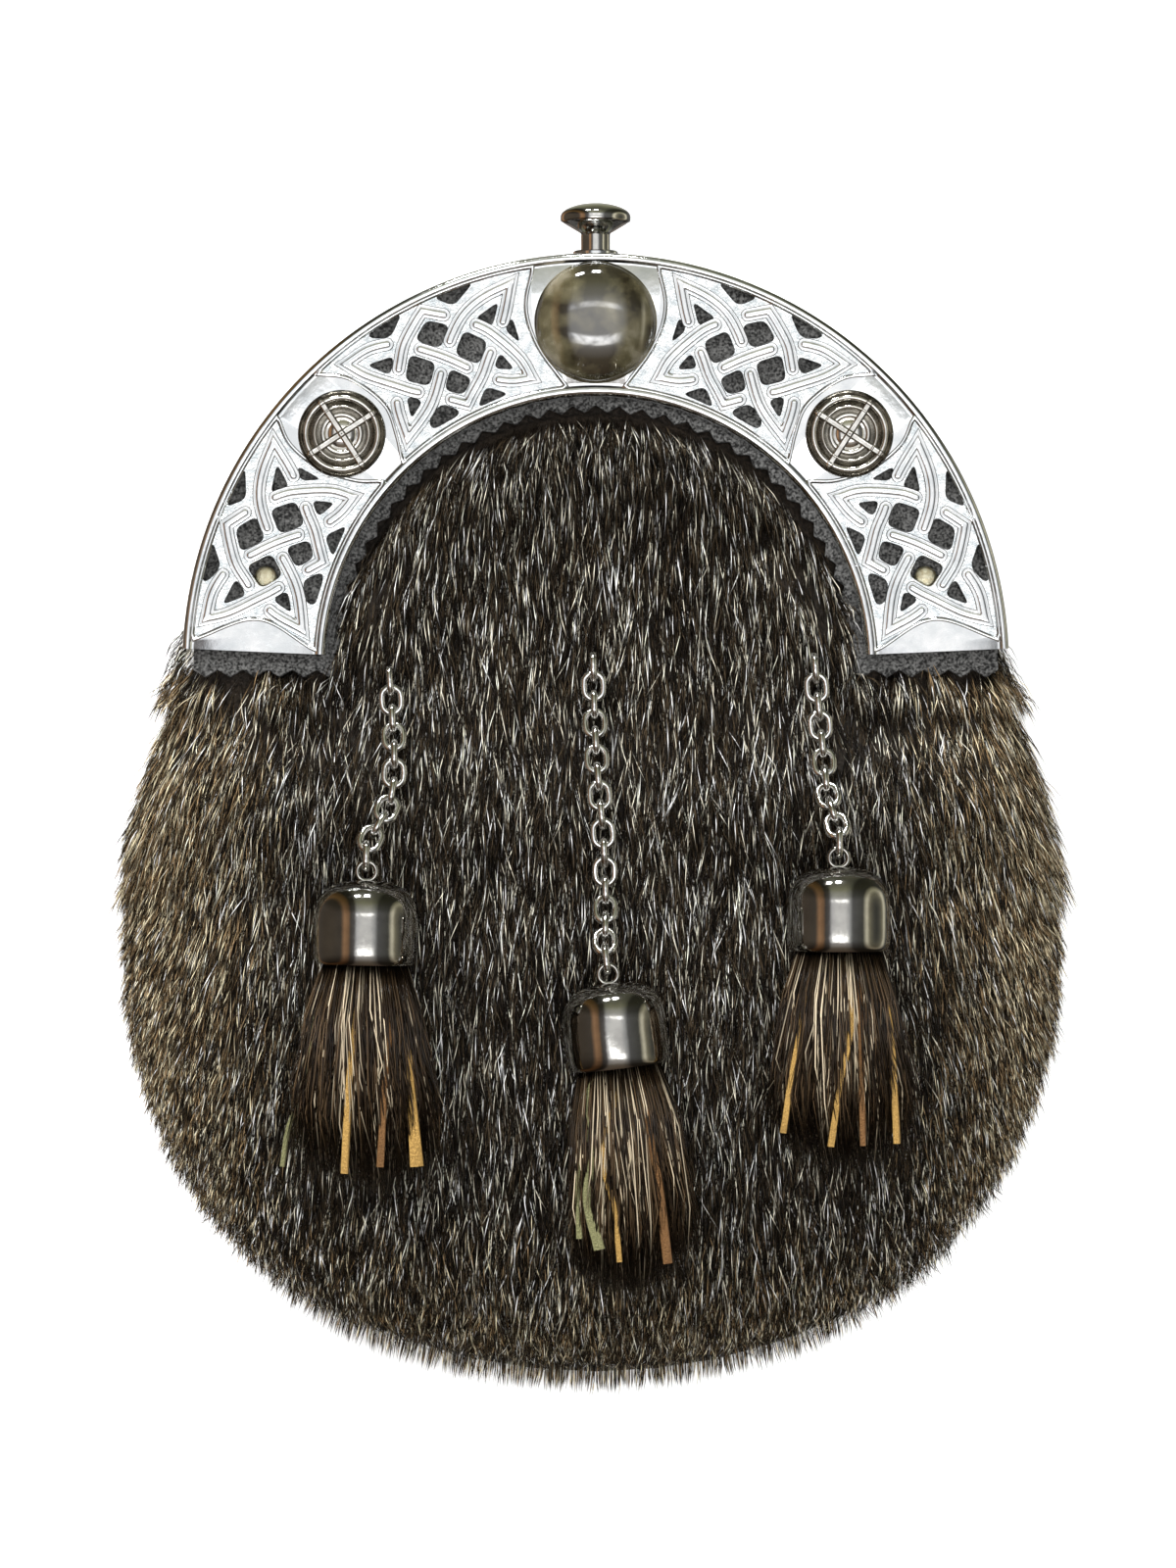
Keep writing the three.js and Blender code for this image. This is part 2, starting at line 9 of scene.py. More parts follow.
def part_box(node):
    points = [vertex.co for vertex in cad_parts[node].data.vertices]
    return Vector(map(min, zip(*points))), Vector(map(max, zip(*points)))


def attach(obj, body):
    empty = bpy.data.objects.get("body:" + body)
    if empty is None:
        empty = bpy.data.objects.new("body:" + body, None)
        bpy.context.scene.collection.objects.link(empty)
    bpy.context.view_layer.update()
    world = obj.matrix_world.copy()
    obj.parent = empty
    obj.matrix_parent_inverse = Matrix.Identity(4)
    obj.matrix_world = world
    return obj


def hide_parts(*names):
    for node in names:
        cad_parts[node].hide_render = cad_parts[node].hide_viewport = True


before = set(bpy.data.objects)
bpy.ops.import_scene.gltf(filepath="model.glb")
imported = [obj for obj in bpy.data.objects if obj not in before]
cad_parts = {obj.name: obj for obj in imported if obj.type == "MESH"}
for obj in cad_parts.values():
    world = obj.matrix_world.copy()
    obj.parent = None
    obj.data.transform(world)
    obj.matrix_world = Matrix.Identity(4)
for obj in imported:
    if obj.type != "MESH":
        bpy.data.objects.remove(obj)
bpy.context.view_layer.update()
print("frame loaded")

mm = 0.001
bandMiddle = 67.35 * mm                    # radius of the cantle's middle line, where the dome stands
domeLow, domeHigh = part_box("center_dome")
archCentre = Vector((0, (domeLow.y + domeHigh.y) / 2 - bandMiddle, 0))
pouch = "pouch"


def addObject(name, data):
    thing = bpy.data.objects.new(name, data)
    bpy.context.scene.collection.objects.link(thing)
    return thing


# camera: straight above the pouch, which lies on its back
cameraSetup = {"target": (-0.0015, 0.0025, 0.03), "distance": 1.15, "frameHeight": 0.3075}


def addCamera(setup):
    data = bpy.data.cameras.new("camera")
    data.sensor_fit = "VERTICAL"
    data.angle_y = 2 * math.atan(setup["frameHeight"] / 2 / setup["distance"])
    data.clip_end = 10
    camera = addObject("camera", data)
    camera.location = Vector(setup["target"]) + Vector((0, 0, setup["distance"]))
    bpy.context.scene.camera = camera


addCamera(cameraSetup)
print("camera placed")


# small tools for making pieces
def deselectAll():
    if bpy.context.mode != "OBJECT":
        bpy.ops.object.mode_set(mode="OBJECT")
    bpy.ops.object.select_all(action="DESELECT")


def activate(piece):
    deselectAll()
    piece.select_set(True)
    bpy.context.view_layer.objects.active = piece


def settle(piece):
    activate(piece)
    bpy.ops.object.transform_apply(location=True, rotation=True, scale=True)


def useModifier(piece, kind, **settings):
    activate(piece)
    modifier = piece.modifiers.new(kind.lower(), kind)
    for key, value in settings.items():
        setattr(modifier, key, value)
    bpy.ops.object.modifier_apply(modifier=modifier.name)


def pieceFromBmesh(name, bm):
    mesh = bpy.data.meshes.new(name)
    bm.to_mesh(mesh)
    bm.free()
    return addObject(name, mesh)


# doubles are merged, and the faces turned outwards
def cleanMesh(piece):
    activate(piece)
    bpy.ops.object.mode_set(mode="EDIT")
    bpy.ops.mesh.select_all(action="SELECT")
    bpy.ops.mesh.remove_doubles(threshold=0.01 * mm)
    bpy.ops.mesh.normals_make_consistent(inside=False)
    bpy.ops.object.mode_set(mode="OBJECT")
    return piece


# a CAD node's shape as a new piece, with its loose triangles joined
def copyNode(node, name, flatten=None):
    piece = addObject(name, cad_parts[node].data.copy())
    activate(piece)
    bpy.ops.object.mode_set(mode="EDIT")
    bpy.ops.mesh.select_all(action="SELECT")
    bpy.ops.mesh.remove_doubles(threshold=0.02 * mm)
    if flatten:
        bpy.ops.mesh.dissolve_limited(angle_limit=math.radians(flatten))
    bpy.ops.object.mode_set(mode="OBJECT")
    return piece


def finishPiece(piece, material, body=pouch, standsFor=(), smoothAngle=None, second=None):
    faceFinish = [polygon.material_index for polygon in piece.data.polygons] if second else None
    piece.data.materials.clear()
    piece.data.materials.append(material)
    if second:
        piece.data.materials.append(second)
        piece.data.polygons.foreach_set("material_index", faceFinish)
    if smoothAngle is not None:
        activate(piece)
        bpy.ops.object.shade_smooth_by_angle(angle=math.radians(smoothAngle))
    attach(piece, body)
    if standsFor:
        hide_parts(*standsFor)
    return piece


def joinPieces(name, pieces):
    deselectAll()
    for piece in pieces:
        piece.select_set(True)
    bpy.context.view_layer.objects.active = pieces[0]
    if len(pieces) > 1:
        bpy.ops.object.join()
    pieces[0].name = name
    pieces[0].data.name = name
    return pieces[0]


# a turned piece: a disc is extruded and scaled row by row along Z, rows are (radius, height) in mm
def turnedPiece(name, rows, steps=48):
    deselectAll()
    rows = [(max(radius, 0.02), height) for radius, height in rows]      # an end on the axis is a pinhole
    radius, height = rows[0]
    bpy.ops.mesh.primitive_circle_add(vertices=steps, radius=radius * mm, fill_type="NGON",
                                      location=(0, 0, height * mm))
    piece = bpy.context.active_object
    piece.name = name
    settle(piece)
    bpy.ops.object.mode_set(mode="EDIT")
    bpy.ops.mesh.select_all(action="SELECT")
    for nextRadius, nextHeight in rows[1:]:
        bpy.ops.mesh.extrude_region_move(TRANSFORM_OT_translate={"value": (0, 0, (nextHeight - height) * mm)})
        scale = nextRadius / radius
        bpy.ops.transform.resize(value=(scale, scale, 1), center_override=(0, 0, nextHeight * mm))
        radius, height = nextRadius, nextHeight
    bpy.ops.mesh.select_all(action="SELECT")
    bpy.ops.mesh.normals_make_consistent(inside=False)
    bpy.ops.object.mode_set(mode="OBJECT")
    return piece


def placeMesh(piece, matrix):
    piece.data.transform(matrix)
    piece.data.update()
    return piece


# a point of the arch: degrees from its top, positive to the left, at a radius in metres
def archPoint(degrees, radius):
    turn = math.radians(degrees)
    return Vector((-math.sin(turn) * radius, archCentre.y + math.cos(turn) * radius))


def archArc(radius, start, end, step=1.6):
    count = max(1, math.ceil(abs(end - start) / step))
    return [archPoint(start + (end - start) * i / count, radius) for i in range(count + 1)]


# a smooth line through a few points, evenly stepped
def smoothLine(points, step, spanSteps=16):
    padded = [2 * points[0] - points[1]] + list(points) + [2 * points[-1] - points[-2]]
    fine = []
    for i in range(1, len(padded) - 2):
        a, b, c, d = padded[i - 1:i + 3]
        for k in range(spanSteps):
            t = k / spanSteps
            fine.append(0.5 * ((2 * b) + (c - a) * t + (2 * a - 5 * b + 4 * c - d) * t ** 2
                               + (3 * b - a - 3 * c + d) * t ** 3))
    fine.append(points[-1])
    lengths = np.cumsum([0] + [(q - p).length for p, q in zip(fine, fine[1:])])
    count = max(2, round(lengths[-1] / step))
    line = []
    for target in np.linspace(0, lengths[-1], count + 1):
        k = min(len(fine) - 2, int(np.searchsorted(lengths, target, side="right")) - 1)
        share = (target - lengths[k]) / max(1e-12, lengths[k + 1] - lengths[k])
        line.append(fine[k].lerp(fine[k + 1], float(min(1, max(0, share)))))
    return line


# materials
def newMaterial(name, color, roughness, metallic=0.0):
    material = bpy.data.materials.new(name)
    material.use_nodes = True
    nodes = material.node_tree.nodes
    shader = nodes["Principled BSDF"]
    shader.inputs["Base Color"].default_value = (*color, 1)
    shader.inputs["Roughness"].default_value = roughness
    shader.inputs["Metallic"].default_value = metallic
    return material, nodes, material.node_tree.links, shader


def objectPattern(nodes, links, kind, scale, **settings):
    place = nodes.new("ShaderNodeTexCoord")
    pattern = nodes.new(kind)
    pattern.inputs["Scale"].default_value = scale
    for key, value in settings.items():
        pattern.inputs[key].default_value = value
    links.new(place.outputs["Object"], pattern.inputs["Vector"])
    return pattern


def colorRamp(nodes, links, source, stops):
    ramp = nodes.new("ShaderNodeValToRGB")
    elements = ramp.color_ramp.elements
    while len(elements) < len(stops):
        elements.new(0.5)
    for element, (position, color) in zip(elements, stops):
        element.position = position
        element.color = (*color, 1)
    links.new(source, ramp.inputs["Fac"])
    return ramp.outputs["Color"]


# the base colour runs through the stops as the pattern rises
def tint(nodes, links, shader, source, *stops):
    links.new(colorRamp(nodes, links, source, stops), shader.inputs["Base Color"])


def valueRange(nodes, links, source, low, high, fromLow=0.3, fromHigh=0.7):
    spread = nodes.new("ShaderNodeMapRange")
    spread.inputs["From Min"].default_value = fromLow
    spread.inputs["From Max"].default_value = fromHigh
    spread.inputs["To Min"].default_value = low
    spread.inputs["To Max"].default_value = high
    links.new(source, spread.inputs["Value"])
    return spread.outputs["Result"]


def addBump(nodes, links, shader, source, strength, distance, below=None):
    bump = nodes.new("ShaderNodeBump")
    bump.inputs["Strength"].default_value = strength
    bump.inputs["Distance"].default_value = distance
    links.new(source, bump.inputs["Height"])
    if below is not None:
        links.new(below.outputs["Normal"], bump.inputs["Normal"])
    links.new(bump.outputs["Normal"], shader.inputs["Normal"])
    return bump


def polishedMetal(name, look):
    material, nodes, links, shader = newMaterial(name, look["color"], look["roughness"], 1.0)
    cloud = objectPattern(nodes, links, "ShaderNodeTexNoise", look["cloudScale"], Detail=6.0)
    tint(nodes, links, shader, cloud.outputs["Fac"], (0.35, look["shade"]), (0.65, look["color"]))
    smear = objectPattern(nodes, links, "ShaderNodeTexNoise", look["smearScale"], Detail=4.0)
    links.new(valueRange(nodes, links, smear.outputs["Fac"], look["roughness"], look["worn"]),
              shader.inputs["Roughness"])
    addBump(nodes, links, shader, smear.outputs["Fac"], look["bump"], 0.2 * mm)
    return material


silverPlate = polishedMetal("silverPlate", {
    "color": (0.93, 0.935, 0.94), "shade": (0.76, 0.785, 0.80), "roughness": 0.07, "worn": 0.16,
    "cloudScale": 260, "smearScale": 900, "bump": 0.10})
# a dark metal used as painted shade in the bands' grooves and on their sides, partly tarnish, and as a
# painted shadow on the arch's inner step
shadeAndTarnish = polishedMetal("shadeAndTarnish", {
    "color": (0.20, 0.205, 0.215), "shade": (0.09, 0.095, 0.10), "roughness": 0.3, "worn": 0.5,
    "cloudScale": 900, "smearScale": 2600, "bump": 0.3})
castSilver = polishedMetal("castSilver", {
    "color": (0.88, 0.89, 0.89), "shade": (0.56, 0.60, 0.62), "roughness": 0.12, "worn": 0.28,
    "cloudScale": 520, "smearScale": 2200, "bump": 0.4})


# a polished dark stone under a mirror skin that grows stronger towards its edge; the olive brown clouds in
# its colour are painted reflection
def polishedStone():
    material, nodes, links, shader = newMaterial("hematite", (0.02, 0.018, 0.014), 0.035)
    shader.inputs["IOR"].default_value = 2.5
    cloud = objectPattern(nodes, links, "ShaderNodeTexNoise", 90, Detail=4.0)
    # painted reflection: olive brown clouds in the stone's base colour
    tint(nodes, links, shader, cloud.outputs["Fac"], (0.4, (0.010, 0.008, 0.004)),
         (0.5, (0.055, 0.048, 0.026)),
         (0.62, (0.16, 0.145, 0.105)))
    haze = objectPattern(nodes, links, "ShaderNodeTexNoise", 1400, Detail=4.0)
    links.new(valueRange(nodes, links, haze.outputs["Fac"], 0.03, 0.09), shader.inputs["Roughness"])
    return material


hematite = polishedStone()
knobMetal = polishedMetal("knobMetal", {
    "color": (0.66, 0.65, 0.62), "shade": (0.52, 0.51, 0.49), "roughness": 0.05, "worn": 0.13,
    "cloudScale": 300, "smearScale": 1300, "bump": 0.03})
gunmetal = polishedMetal("gunmetal", {
    "color": (0.30, 0.28, 0.24), "shade": (0.13, 0.12, 0.10), "roughness": 0.14, "worn": 0.32,
    "cloudScale": 420, "smearScale": 1300, "bump": 0.12})
bossMetal = polishedMetal("bossMetal", {
    "color": (0.90, 0.88, 0.84), "shade": (0.62, 0.60, 0.56), "roughness": 0.07, "worn": 0.18,
    "cloudScale": 420, "smearScale": 1500, "bump": 0.08})
capMetal = polishedMetal("capMetal", {
    "color": (0.50, 0.49, 0.46), "shade": (0.40, 0.39, 0.37), "roughness": 0.05, "worn": 0.13,
    "cloudScale": 240, "smearScale": 1300, "bump": 0.03})
chainMetal = polishedMetal("chainMetal", {
    "color": (0.96, 0.96, 0.95), "shade": (0.84, 0.84, 0.83), "roughness": 0.08, "worn": 0.2,
    "cloudScale": 500, "smearScale": 2000, "bump": 0.05})
rivetMetal = polishedMetal("rivetMetal", {
    "color": (0.90, 0.86, 0.66), "shade": (0.70, 0.62, 0.40), "roughness": 0.3, "worn": 0.5,
    "cloudScale": 1400, "smearScale": 1800, "bump": 0.5})


def grainedLeather(name, look):
    material, nodes, links, shader = newMaterial(name, look["color"], look["roughness"])
    shader.inputs["Specular IOR Level"].default_value = look["gloss"]
    pebble = objectPattern(nodes, links, "ShaderNodeTexVoronoi", look["grainScale"])
    grain = objectPattern(nodes, links, "ShaderNodeTexNoise", look["grainScale"] * 2.2, Detail=8.0)
    tint(nodes, links, shader, grain.outputs["Fac"], (0.39, look["color"]), (0.64, look["light"]))
    links.new(valueRange(nodes, links, pebble.outputs["Distance"], look["roughness"] - 0.12,
                         look["roughness"] + 0.12, 0.0, 0.8), shader.inputs["Roughness"])
    pebbles = addBump(nodes, links, shader, pebble.outputs["Distance"], look["bump"], 0.3 * mm)
    addBump(nodes, links, shader, grain.outputs["Fac"], look["bump"] * 0.7, 0.15 * mm, pebbles)
    return material


blackLeather = grainedLeather("blackLeather", {
    "color": (0.006, 0.006, 0.006), "light": (0.082, 0.082, 0.080), "roughness": 0.6, "grainScale": 1000,
    "bump": 1.0, "gloss": 0.25})
oliveSuede = grainedLeather("oliveSuede", {
    "color": (0.085, 0.085, 0.038), "light": (0.17, 0.165, 0.085), "roughness": 0.9, "grainScale": 2200,
    "bump": 0.7,
    "gloss": 0.3})
tanSuede = grainedLeather("tanSuede", {
    "color": (0.17, 0.10, 0.028), "light": (0.36, 0.225, 0.07), "roughness": 0.85, "grainScale": 2400,
    "bump": 0.6,
    "gloss": 0.3})
brownSuede = grainedLeather("brownSuede", {
    "color": (0.075, 0.036, 0.014), "light": (0.15, 0.08, 0.032), "roughness": 0.85, "grainScale": 2400,
    "bump": 0.6, "gloss": 0.3})


# each hair's tone is kept as a root, so that it swells to a short bright band along the hair: a painted glint
glintSharpness = 2.5


def hairMaterial(name, roughness, gloss):
    material, nodes, links, shader = newMaterial(name, (0.03, 0.02, 0.015), roughness)
    strand = nodes.new("ShaderNodeAttribute")
    strand.attribute_name = "hairColor"
    band = nodes.new("ShaderNodeGamma")
    band.inputs["Gamma"].default_value = glintSharpness
    links.new(strand.outputs["Color"], band.inputs["Color"])
    links.new(band.outputs["Color"], shader.inputs["Base Color"])
    shader.inputs["Specular IOR Level"].default_value = gloss
    return material


hairShine = hairMaterial("hairShine", 0.22, 0.34)


def underfurMaterial():
    material, nodes, links, shader = newMaterial("underfur", (0.008, 0.006, 0.004), 0.9)
    down = objectPattern(nodes, links, "ShaderNodeTexNoise", 1400, Detail=8.0)
    tint(nodes, links, shader, down.outputs["Fac"], (0.35, (0.004, 0.003, 0.002)),
         (0.75, (0.018, 0.013, 0.009)))
    addBump(nodes, links, shader, down.outputs["Fac"], 1.0, 0.6 * mm)
    return material


underfur = underfurMaterial()
print("materials made")


# the cantle: a moulded arch with four sunk panels, each pierced and crossed by a knot of grooved bands
cantleSetup = {
    "profile": [(81, 29.65), (81, 31.5), (80.86, 32), (80.55, 32.35), (80.1, 32.5), (79.65, 32.35),
                (79.4, 31.95),
                (79.2, 31.75), (78.7, 31.75), (78.45, 31.85), (67.35, 31.9), (55.85, 31.85), (55.6, 31.75),
                (55.05, 31.75), (54.9, 31.95), (54.6, 32.4), (54.1, 32.55), (53.6, 32.5), (53.3, 32.25),
                (53.1, 31.9), (52.85, 31), (52.8, 29.65)],
    "end": 87.5, "steps": 150, "floorTop": 30.9, "plateLow": 29.65, "rise": 32.15, "width": 2.6,
}
panelEdge = {"outer": 78.9, "inner": 55.3}
mmPerDegree = 1.17                         # along the arch's middle line
cantlePanels = [
    {"middle": 26, "stretch": 1,
     "near": [(9.3, 78.9), (11.3, 71.7), (10.6, 64), (6.3, 55.3)],
     "far": [(43.2, 78.9), (40.2, 74), (38.6, 66), (40.3, 60), (43, 55.3)]},
    {"middle": 69, "stretch": 1.03,
     "near": [(52.3, 78.9), (54.3, 73.9), (54.6, 66.7), (52.7, 59.8), (49.3, 55.3)],
     "far": [(85.8, 78.9), (81.7, 66.8), (86.3, 55.3)]},
]
# knot points: degrees along the arch and mm outwards, both from the panel's middle
knot = {
    "c": (0, 0), "x2": (4.8, 6.1), "x3": (-4.8, -6.1), "x4": (4.6, -5.6), "x5": (-4.6, 5.6), "x7": (9.4, 0.1),
    "x6": (-9.4, -0.1), "t4": (13.6, 9.5), "t1": (-13.5, 9.5), "t3": (13.5, -9.5), "t2": (-13.6, -9.5),
    "k2": (0, -10.1), "k1": (0, 10.1),
}
# each visible arm between the two places where it goes under another
knotArms = [
    [(-4.8, -6.1), (0, 0), (4.8, 6.1)],
    [(4.8, 6.1), (6.6, 7.6), (9.8, 9.1), "t4", (12.3, 5.2), (9.4, 0.1), (7.4, -2.8), (4.6, -5.6)],
    [(4.6, -5.6), (3.1, -7.2), "k2", (-1.9, -8.6), (-4.8, -6.1), (-7, -3.2), (-9.4, -0.1)],
    [(-9.4, -0.1), (-11.5, 3.8), "t1", (-9.7, 8.5), (-6.9, 7.3), (-4.6, 5.6), (-2, 2.7), (0, 0)],
    [(0, 0), (2, -2.7), (4.6, -5.6), (6.9, -7.3), (9.7, -8.5), "t3", (11.5, -3.8), (9.4, 0.1)],
    [(9.4, 0.1), (7, 3.2), (4.8, 6.1), (1.9, 8.6), "k1", (-3.1, 7.2), (-4.6, 5.6)],
    [(-4.6, 5.6), (-7.4, 2.8), (-9.4, -0.1), (-12.3, -5.2), "t2", (-9.8, -9.1), (-6.6, -7.6), (-4.8, -6.1)],
]
# windows between the bands are drawn in by a margin; the ones outside the knot are already at their size
knotCells = [("c", "x2", "x7", "x4"), ("c", "x4", "k2", "x3"), ("c", "x3", "x6", "x5"),
             ("c", "x5", "k1", "x2"),
             ("x2", "t4", "x7"), ("x5", "t1", "x6"), ("x4", "t3", "x7"), ("x3", "t2", "x6")]
outerWindows = [
    [(3, 11.5), (8.4, 11.5), (8.2, 10.4), (5.9, 8.7)], [(-2.4, 11.5), (-8.1, 11.5), (-4.5, 8.7)],
    [(-10.9, 1.1), (-12.5, 3), (-12.8, -2)], [(8.4, -11), (8.2, -9.2), (4.5, -7.6), (2.2, -10.2),
                                              (2.6, -11.2)],
    [(-1.7, -11.5), (-4.6, -8.5), (-8.1, -11.2)],
]


def turnedLeft(points):
    area = sum(a.x * b.y - b.x * a.y for a, b in zip(points, points[1:] + points[:1]))
    return list(points) if area > 0 else list(points)[::-1]


# moves each side of a closed outline inwards and rounds its corners
def roundedOutline(points, inset, rounding, steps=5):
    points = turnedLeft(points)
    count = len(points)
    moved = []
    for i in range(count):
        before, here, after = points[i - 1], points[i], points[(i + 1) % count]
        a = (here - before).normalized()
        b = (after - here).normalized()
        middle = Vector((-a.y - b.y, a.x + b.x))
        middle.normalize()
        moved.append(here + middle * (inset / max(0.3, middle.dot(Vector((-a.y, a.x))))))
    line = []
    for i in range(count):
        before, here, after = moved[i - 1], moved[i], moved[(i + 1) % count]
        reachIn = min(rounding, (before - here).length * 0.48)
        reachOut = min(rounding, (after - here).length * 0.48)
        start = here + (before - here).normalized() * reachIn
        end = here + (after - here).normalized() * reachOut
        for k in range(steps + 1):
            t = k / steps
            line.append(start * (1 - t) ** 2 + here * (2 * t * (1 - t)) + end * t ** 2)
    return line


# one grooved band: rings of (distance from the edge line, height) close in on its middle line
def bandMesh(bm, line, rings, closed=False, dark=()):
    count = len(line)
    frames = []
    for i in range(count):
        before = line[i - 1] if closed or i > 0 else None
        after = line[(i + 1) % count] if closed or i < count - 1 else None
        a = (line[i] - before).normalized() if before is not None else (after - line[i]).normalized()
        b = (after - line[i]).normalized() if after is not None else a
        normal = Vector((-a.y - b.y, a.x + b.x)).normalized()
        stretch = min(2.4, 1 / max(0.2, normal.dot(Vector((-a.y, a.x)))))
        frames.append((normal, stretch, a))
    corners = [i for i in range(count) if frames[i][1] > 1.35]

    def contour(distance):
        sides = []
        for sign in (1, -1):
            row = [line[i] + frames[i][0] * (sign * distance * frames[i][1]) for i in range(count)]
            for corner in corners:
                turn = (line[corner] - line[corner - 1]).cross(line[(corner + 1) % count] - line[corner])
                if turn * sign > 0:
                    k = 1
                    reach = distance * math.tan(math.acos(min(1, 1 / frames[corner][1])))
                    while k < count // 2:
                        near = [j for j in (corner - k, corner + k) if closed or 0 <= j < count]
                        inside = [j for j in near if (line[j % count] - line[corner]).length < reach]
                        if not inside:
                            break
                        for j in inside:
                            row[j % count] = row[corner]
                        k += 1
            sides.append(row)
        if closed:
            return sides
        loop = list(sides[0])
        for k in range(1, 8):
            turn = math.pi * k / 8
            along = frames[-1][2]
            side = Vector((-along.y, along.x))
            loop.append(line[-1] + (side * math.cos(turn) + along * math.sin(turn)) * distance)
        loop += sides[1][::-1]
        for k in range(1, 8):
            turn = math.pi * k / 8
            along = (line[1] - line[0]).normalized()
            side = Vector((-along.y, along.x))
            loop.append(line[0] + (-side * math.cos(turn) - along * math.sin(turn)) * distance)
        return [loop]

    for part in range(2 if closed else 1):
        previous = None
        for step, (distance, height) in enumerate(rings):
            points = contour(distance)[part]
            verts = [bm.verts.new((p.x, p.y, height * mm)) for p in points]
            if previous:
                for i in range(len(verts)):
                    j = (i + 1) % len(verts)
                    quad = (previous[i], previous[j], verts[j], verts[i])
                    face = bm.faces.new(quad if not (closed and part) else quad[::-1])
                    # faces of the rings listed in dark take the second finish: painted shade on the band's
                    # sides and in its grooves
                    face.material_index = 1 if step in dark else 0
            previous = verts


def armRings(setup):
    half = setup["width"] / 2
    low, top = setup["floorTop"] - 0.2, setup["rise"]
    rows = [(half, low), (half, top - 0.45), (half - 0.05, top - 0.25), (half - 0.16, top - 0.12),
            (half - 0.42, top - 0.1), (half - 0.48, top - 0.45), (half - 0.6, top - 0.45),
            (half - 0.68, top - 0.06),
            (half - 0.8, top), (0.12, top + 0.03), (0, top + 0.03)]
    return [(max(0, distance) * mm, height) for distance, height in rows]


def panelPlace(panel, side):
    def place(point):
        along, out = knot[point] if isinstance(point, str) else point
        return archPoint(side * (panel["middle"] + along * panel["stretch"]), bandMiddle + out * mm)
    return place


# the panel's border, spread outwards by some mm
def panelOutline(panel, side, spread):
    shift = spread / mmPerDegree

    def edge(rows, sign):
        line = [archPoint(side * (degrees + sign * shift), radius * mm) for degrees, radius in rows]
        return smoothLine(line, 0.9 * mm)
    near, far = edge(panel["near"], -1), edge(panel["far"], 1)
    outer, inner = panelEdge["outer"] * mm + spread * mm, panelEdge["inner"] * mm - spread * mm
    top = archArc(outer, side * (panel["near"][0][0] - shift), side * (panel["far"][0][0] + shift), 0.9)
    low = archArc(inner, side * (panel["far"][-1][0] + shift), side * (panel["near"][-1][0] - shift), 0.9)
    return turnedLeft(top[:-1] + far[:-1] + low[:-1] + near[::-1][:-1])


def cutRing(bm, points, height):
    verts = [bm.verts.new((p.x, p.y, height * mm)) for p in points]
    return verts, [bm.edges.new((verts[i], verts[(i + 1) % len(verts)])) for i in range(len(verts))]


def panelFloor(panel, side, setup):
    place = panelPlace(panel, side)
    windows = [roundedOutline([place(name) for name in cell], setup["width"] / 2 * mm + 0.14 * mm, 1.5 * mm)
               for cell in knotCells]
    windows += [roundedOutline([place(point) for point in rows], -0.12 * mm,
                               1.5 * mm) for rows in outerWindows]
    bm = bmesh.new()
    edges = cutRing(bm, panelOutline(panel, side, 0.2), setup["floorTop"])[1]
    lips = []
    for window in windows:
        verts, ring = cutRing(bm, window, setup["floorTop"])
        edges += ring
        lips.append(verts)
    bmesh.ops.triangle_fill(bm, use_beauty=True, use_dissolve=False, edges=edges)
    for face in bm.faces:
        if face.normal.z < 0:
            face.normal_flip()
    for verts in lips:
        middle = sum((v.co for v in verts), Vector()) / len(verts)
        previous = verts
        for inwards, height in ((0.06, -0.1), (0.1, -0.28), (0.1, setup["plateLow"] - setup["floorTop"])):
            ring = []
            for vert in verts:
                pull = (middle - vert.co)
                pull.z = 0
                point = vert.co + pull.normalized() * (inwards * mm)
                ring.append(bm.verts.new((point.x, point.y, vert.co.z + height * mm)))
            for i in range(len(verts)):
                j = (i + 1) % len(verts)
                bm.faces.new((previous[j], previous[i], ring[i], ring[j]))
            previous = ring
    bmesh.ops.recalc_face_normals(bm, faces=bm.faces)
    if sum(f.normal.z * f.calc_area() for f in bm.faces) < 0:
        bmesh.ops.reverse_faces(bm, faces=bm.faces)
    return pieceFromBmesh("panel_floor", bm)


def panelArms(panel, side, setup):
    place = panelPlace(panel, side)
    half = setup["width"] / 2 * mm
    bm = bmesh.new()
    for arm in knotArms:
        segments, current = [], []
        for point in arm:
            current.append(place(point))
            if isinstance(point, str):
                segments.append(current)
                current = [place(point)]
        segments.append(current)
        line = []
        for rows in segments:
            line += smoothLine(rows, 0.55 * mm)[(1 if line else 0):]
        trim = 2 * half + 0.42 * mm
        crossing = (line[0], line[-1])
        line = [p for p in line if (p - crossing[0]).length > trim and (p - crossing[1]).length > trim]
        # the arms' outer walls and grooves take the painted shade finish
        bandMesh(bm, line if side > 0 else line[::-1], armRings(setup), dark=(1, 2, 5, 6, 7))
    return cleanMesh(pieceFromBmesh("panel_arms", bm))


def panelFrameLine(panel, side, setup):
    bm = bmesh.new()
    line = panelOutline(panel, side, 0.42)
    top = setup["rise"] - 0.05
    rows = [(0.52, setup["floorTop"] - 0.1), (0.5, top - 0.42), (0.34, top - 0.3), (0.28, top - 0.06),
            (0.18, top),
            (0, top + 0.02)]
    # the frame line's outer wall takes the painted shade finish
    bandMesh(bm, line, [(distance * mm, height) for distance, height in rows], closed=True, dark=(1, 2))
    return cleanMesh(pieceFromBmesh("panel_frame", bm))


def prismPiece(name, points, low, high):
    bm = bmesh.new()
    verts = [bm.verts.new((p.x, p.y, low * mm)) for p in points]
    face = bm.faces.new(verts)
    raised = bmesh.ops.extrude_face_region(bm, geom=[face])
    for item in raised["geom"]:
        if isinstance(item, bmesh.types.BMVert):
            item.co.z = high * mm
    bmesh.ops.recalc_face_normals(bm, faces=bm.faces)
    return pieceFromBmesh(name, bm)


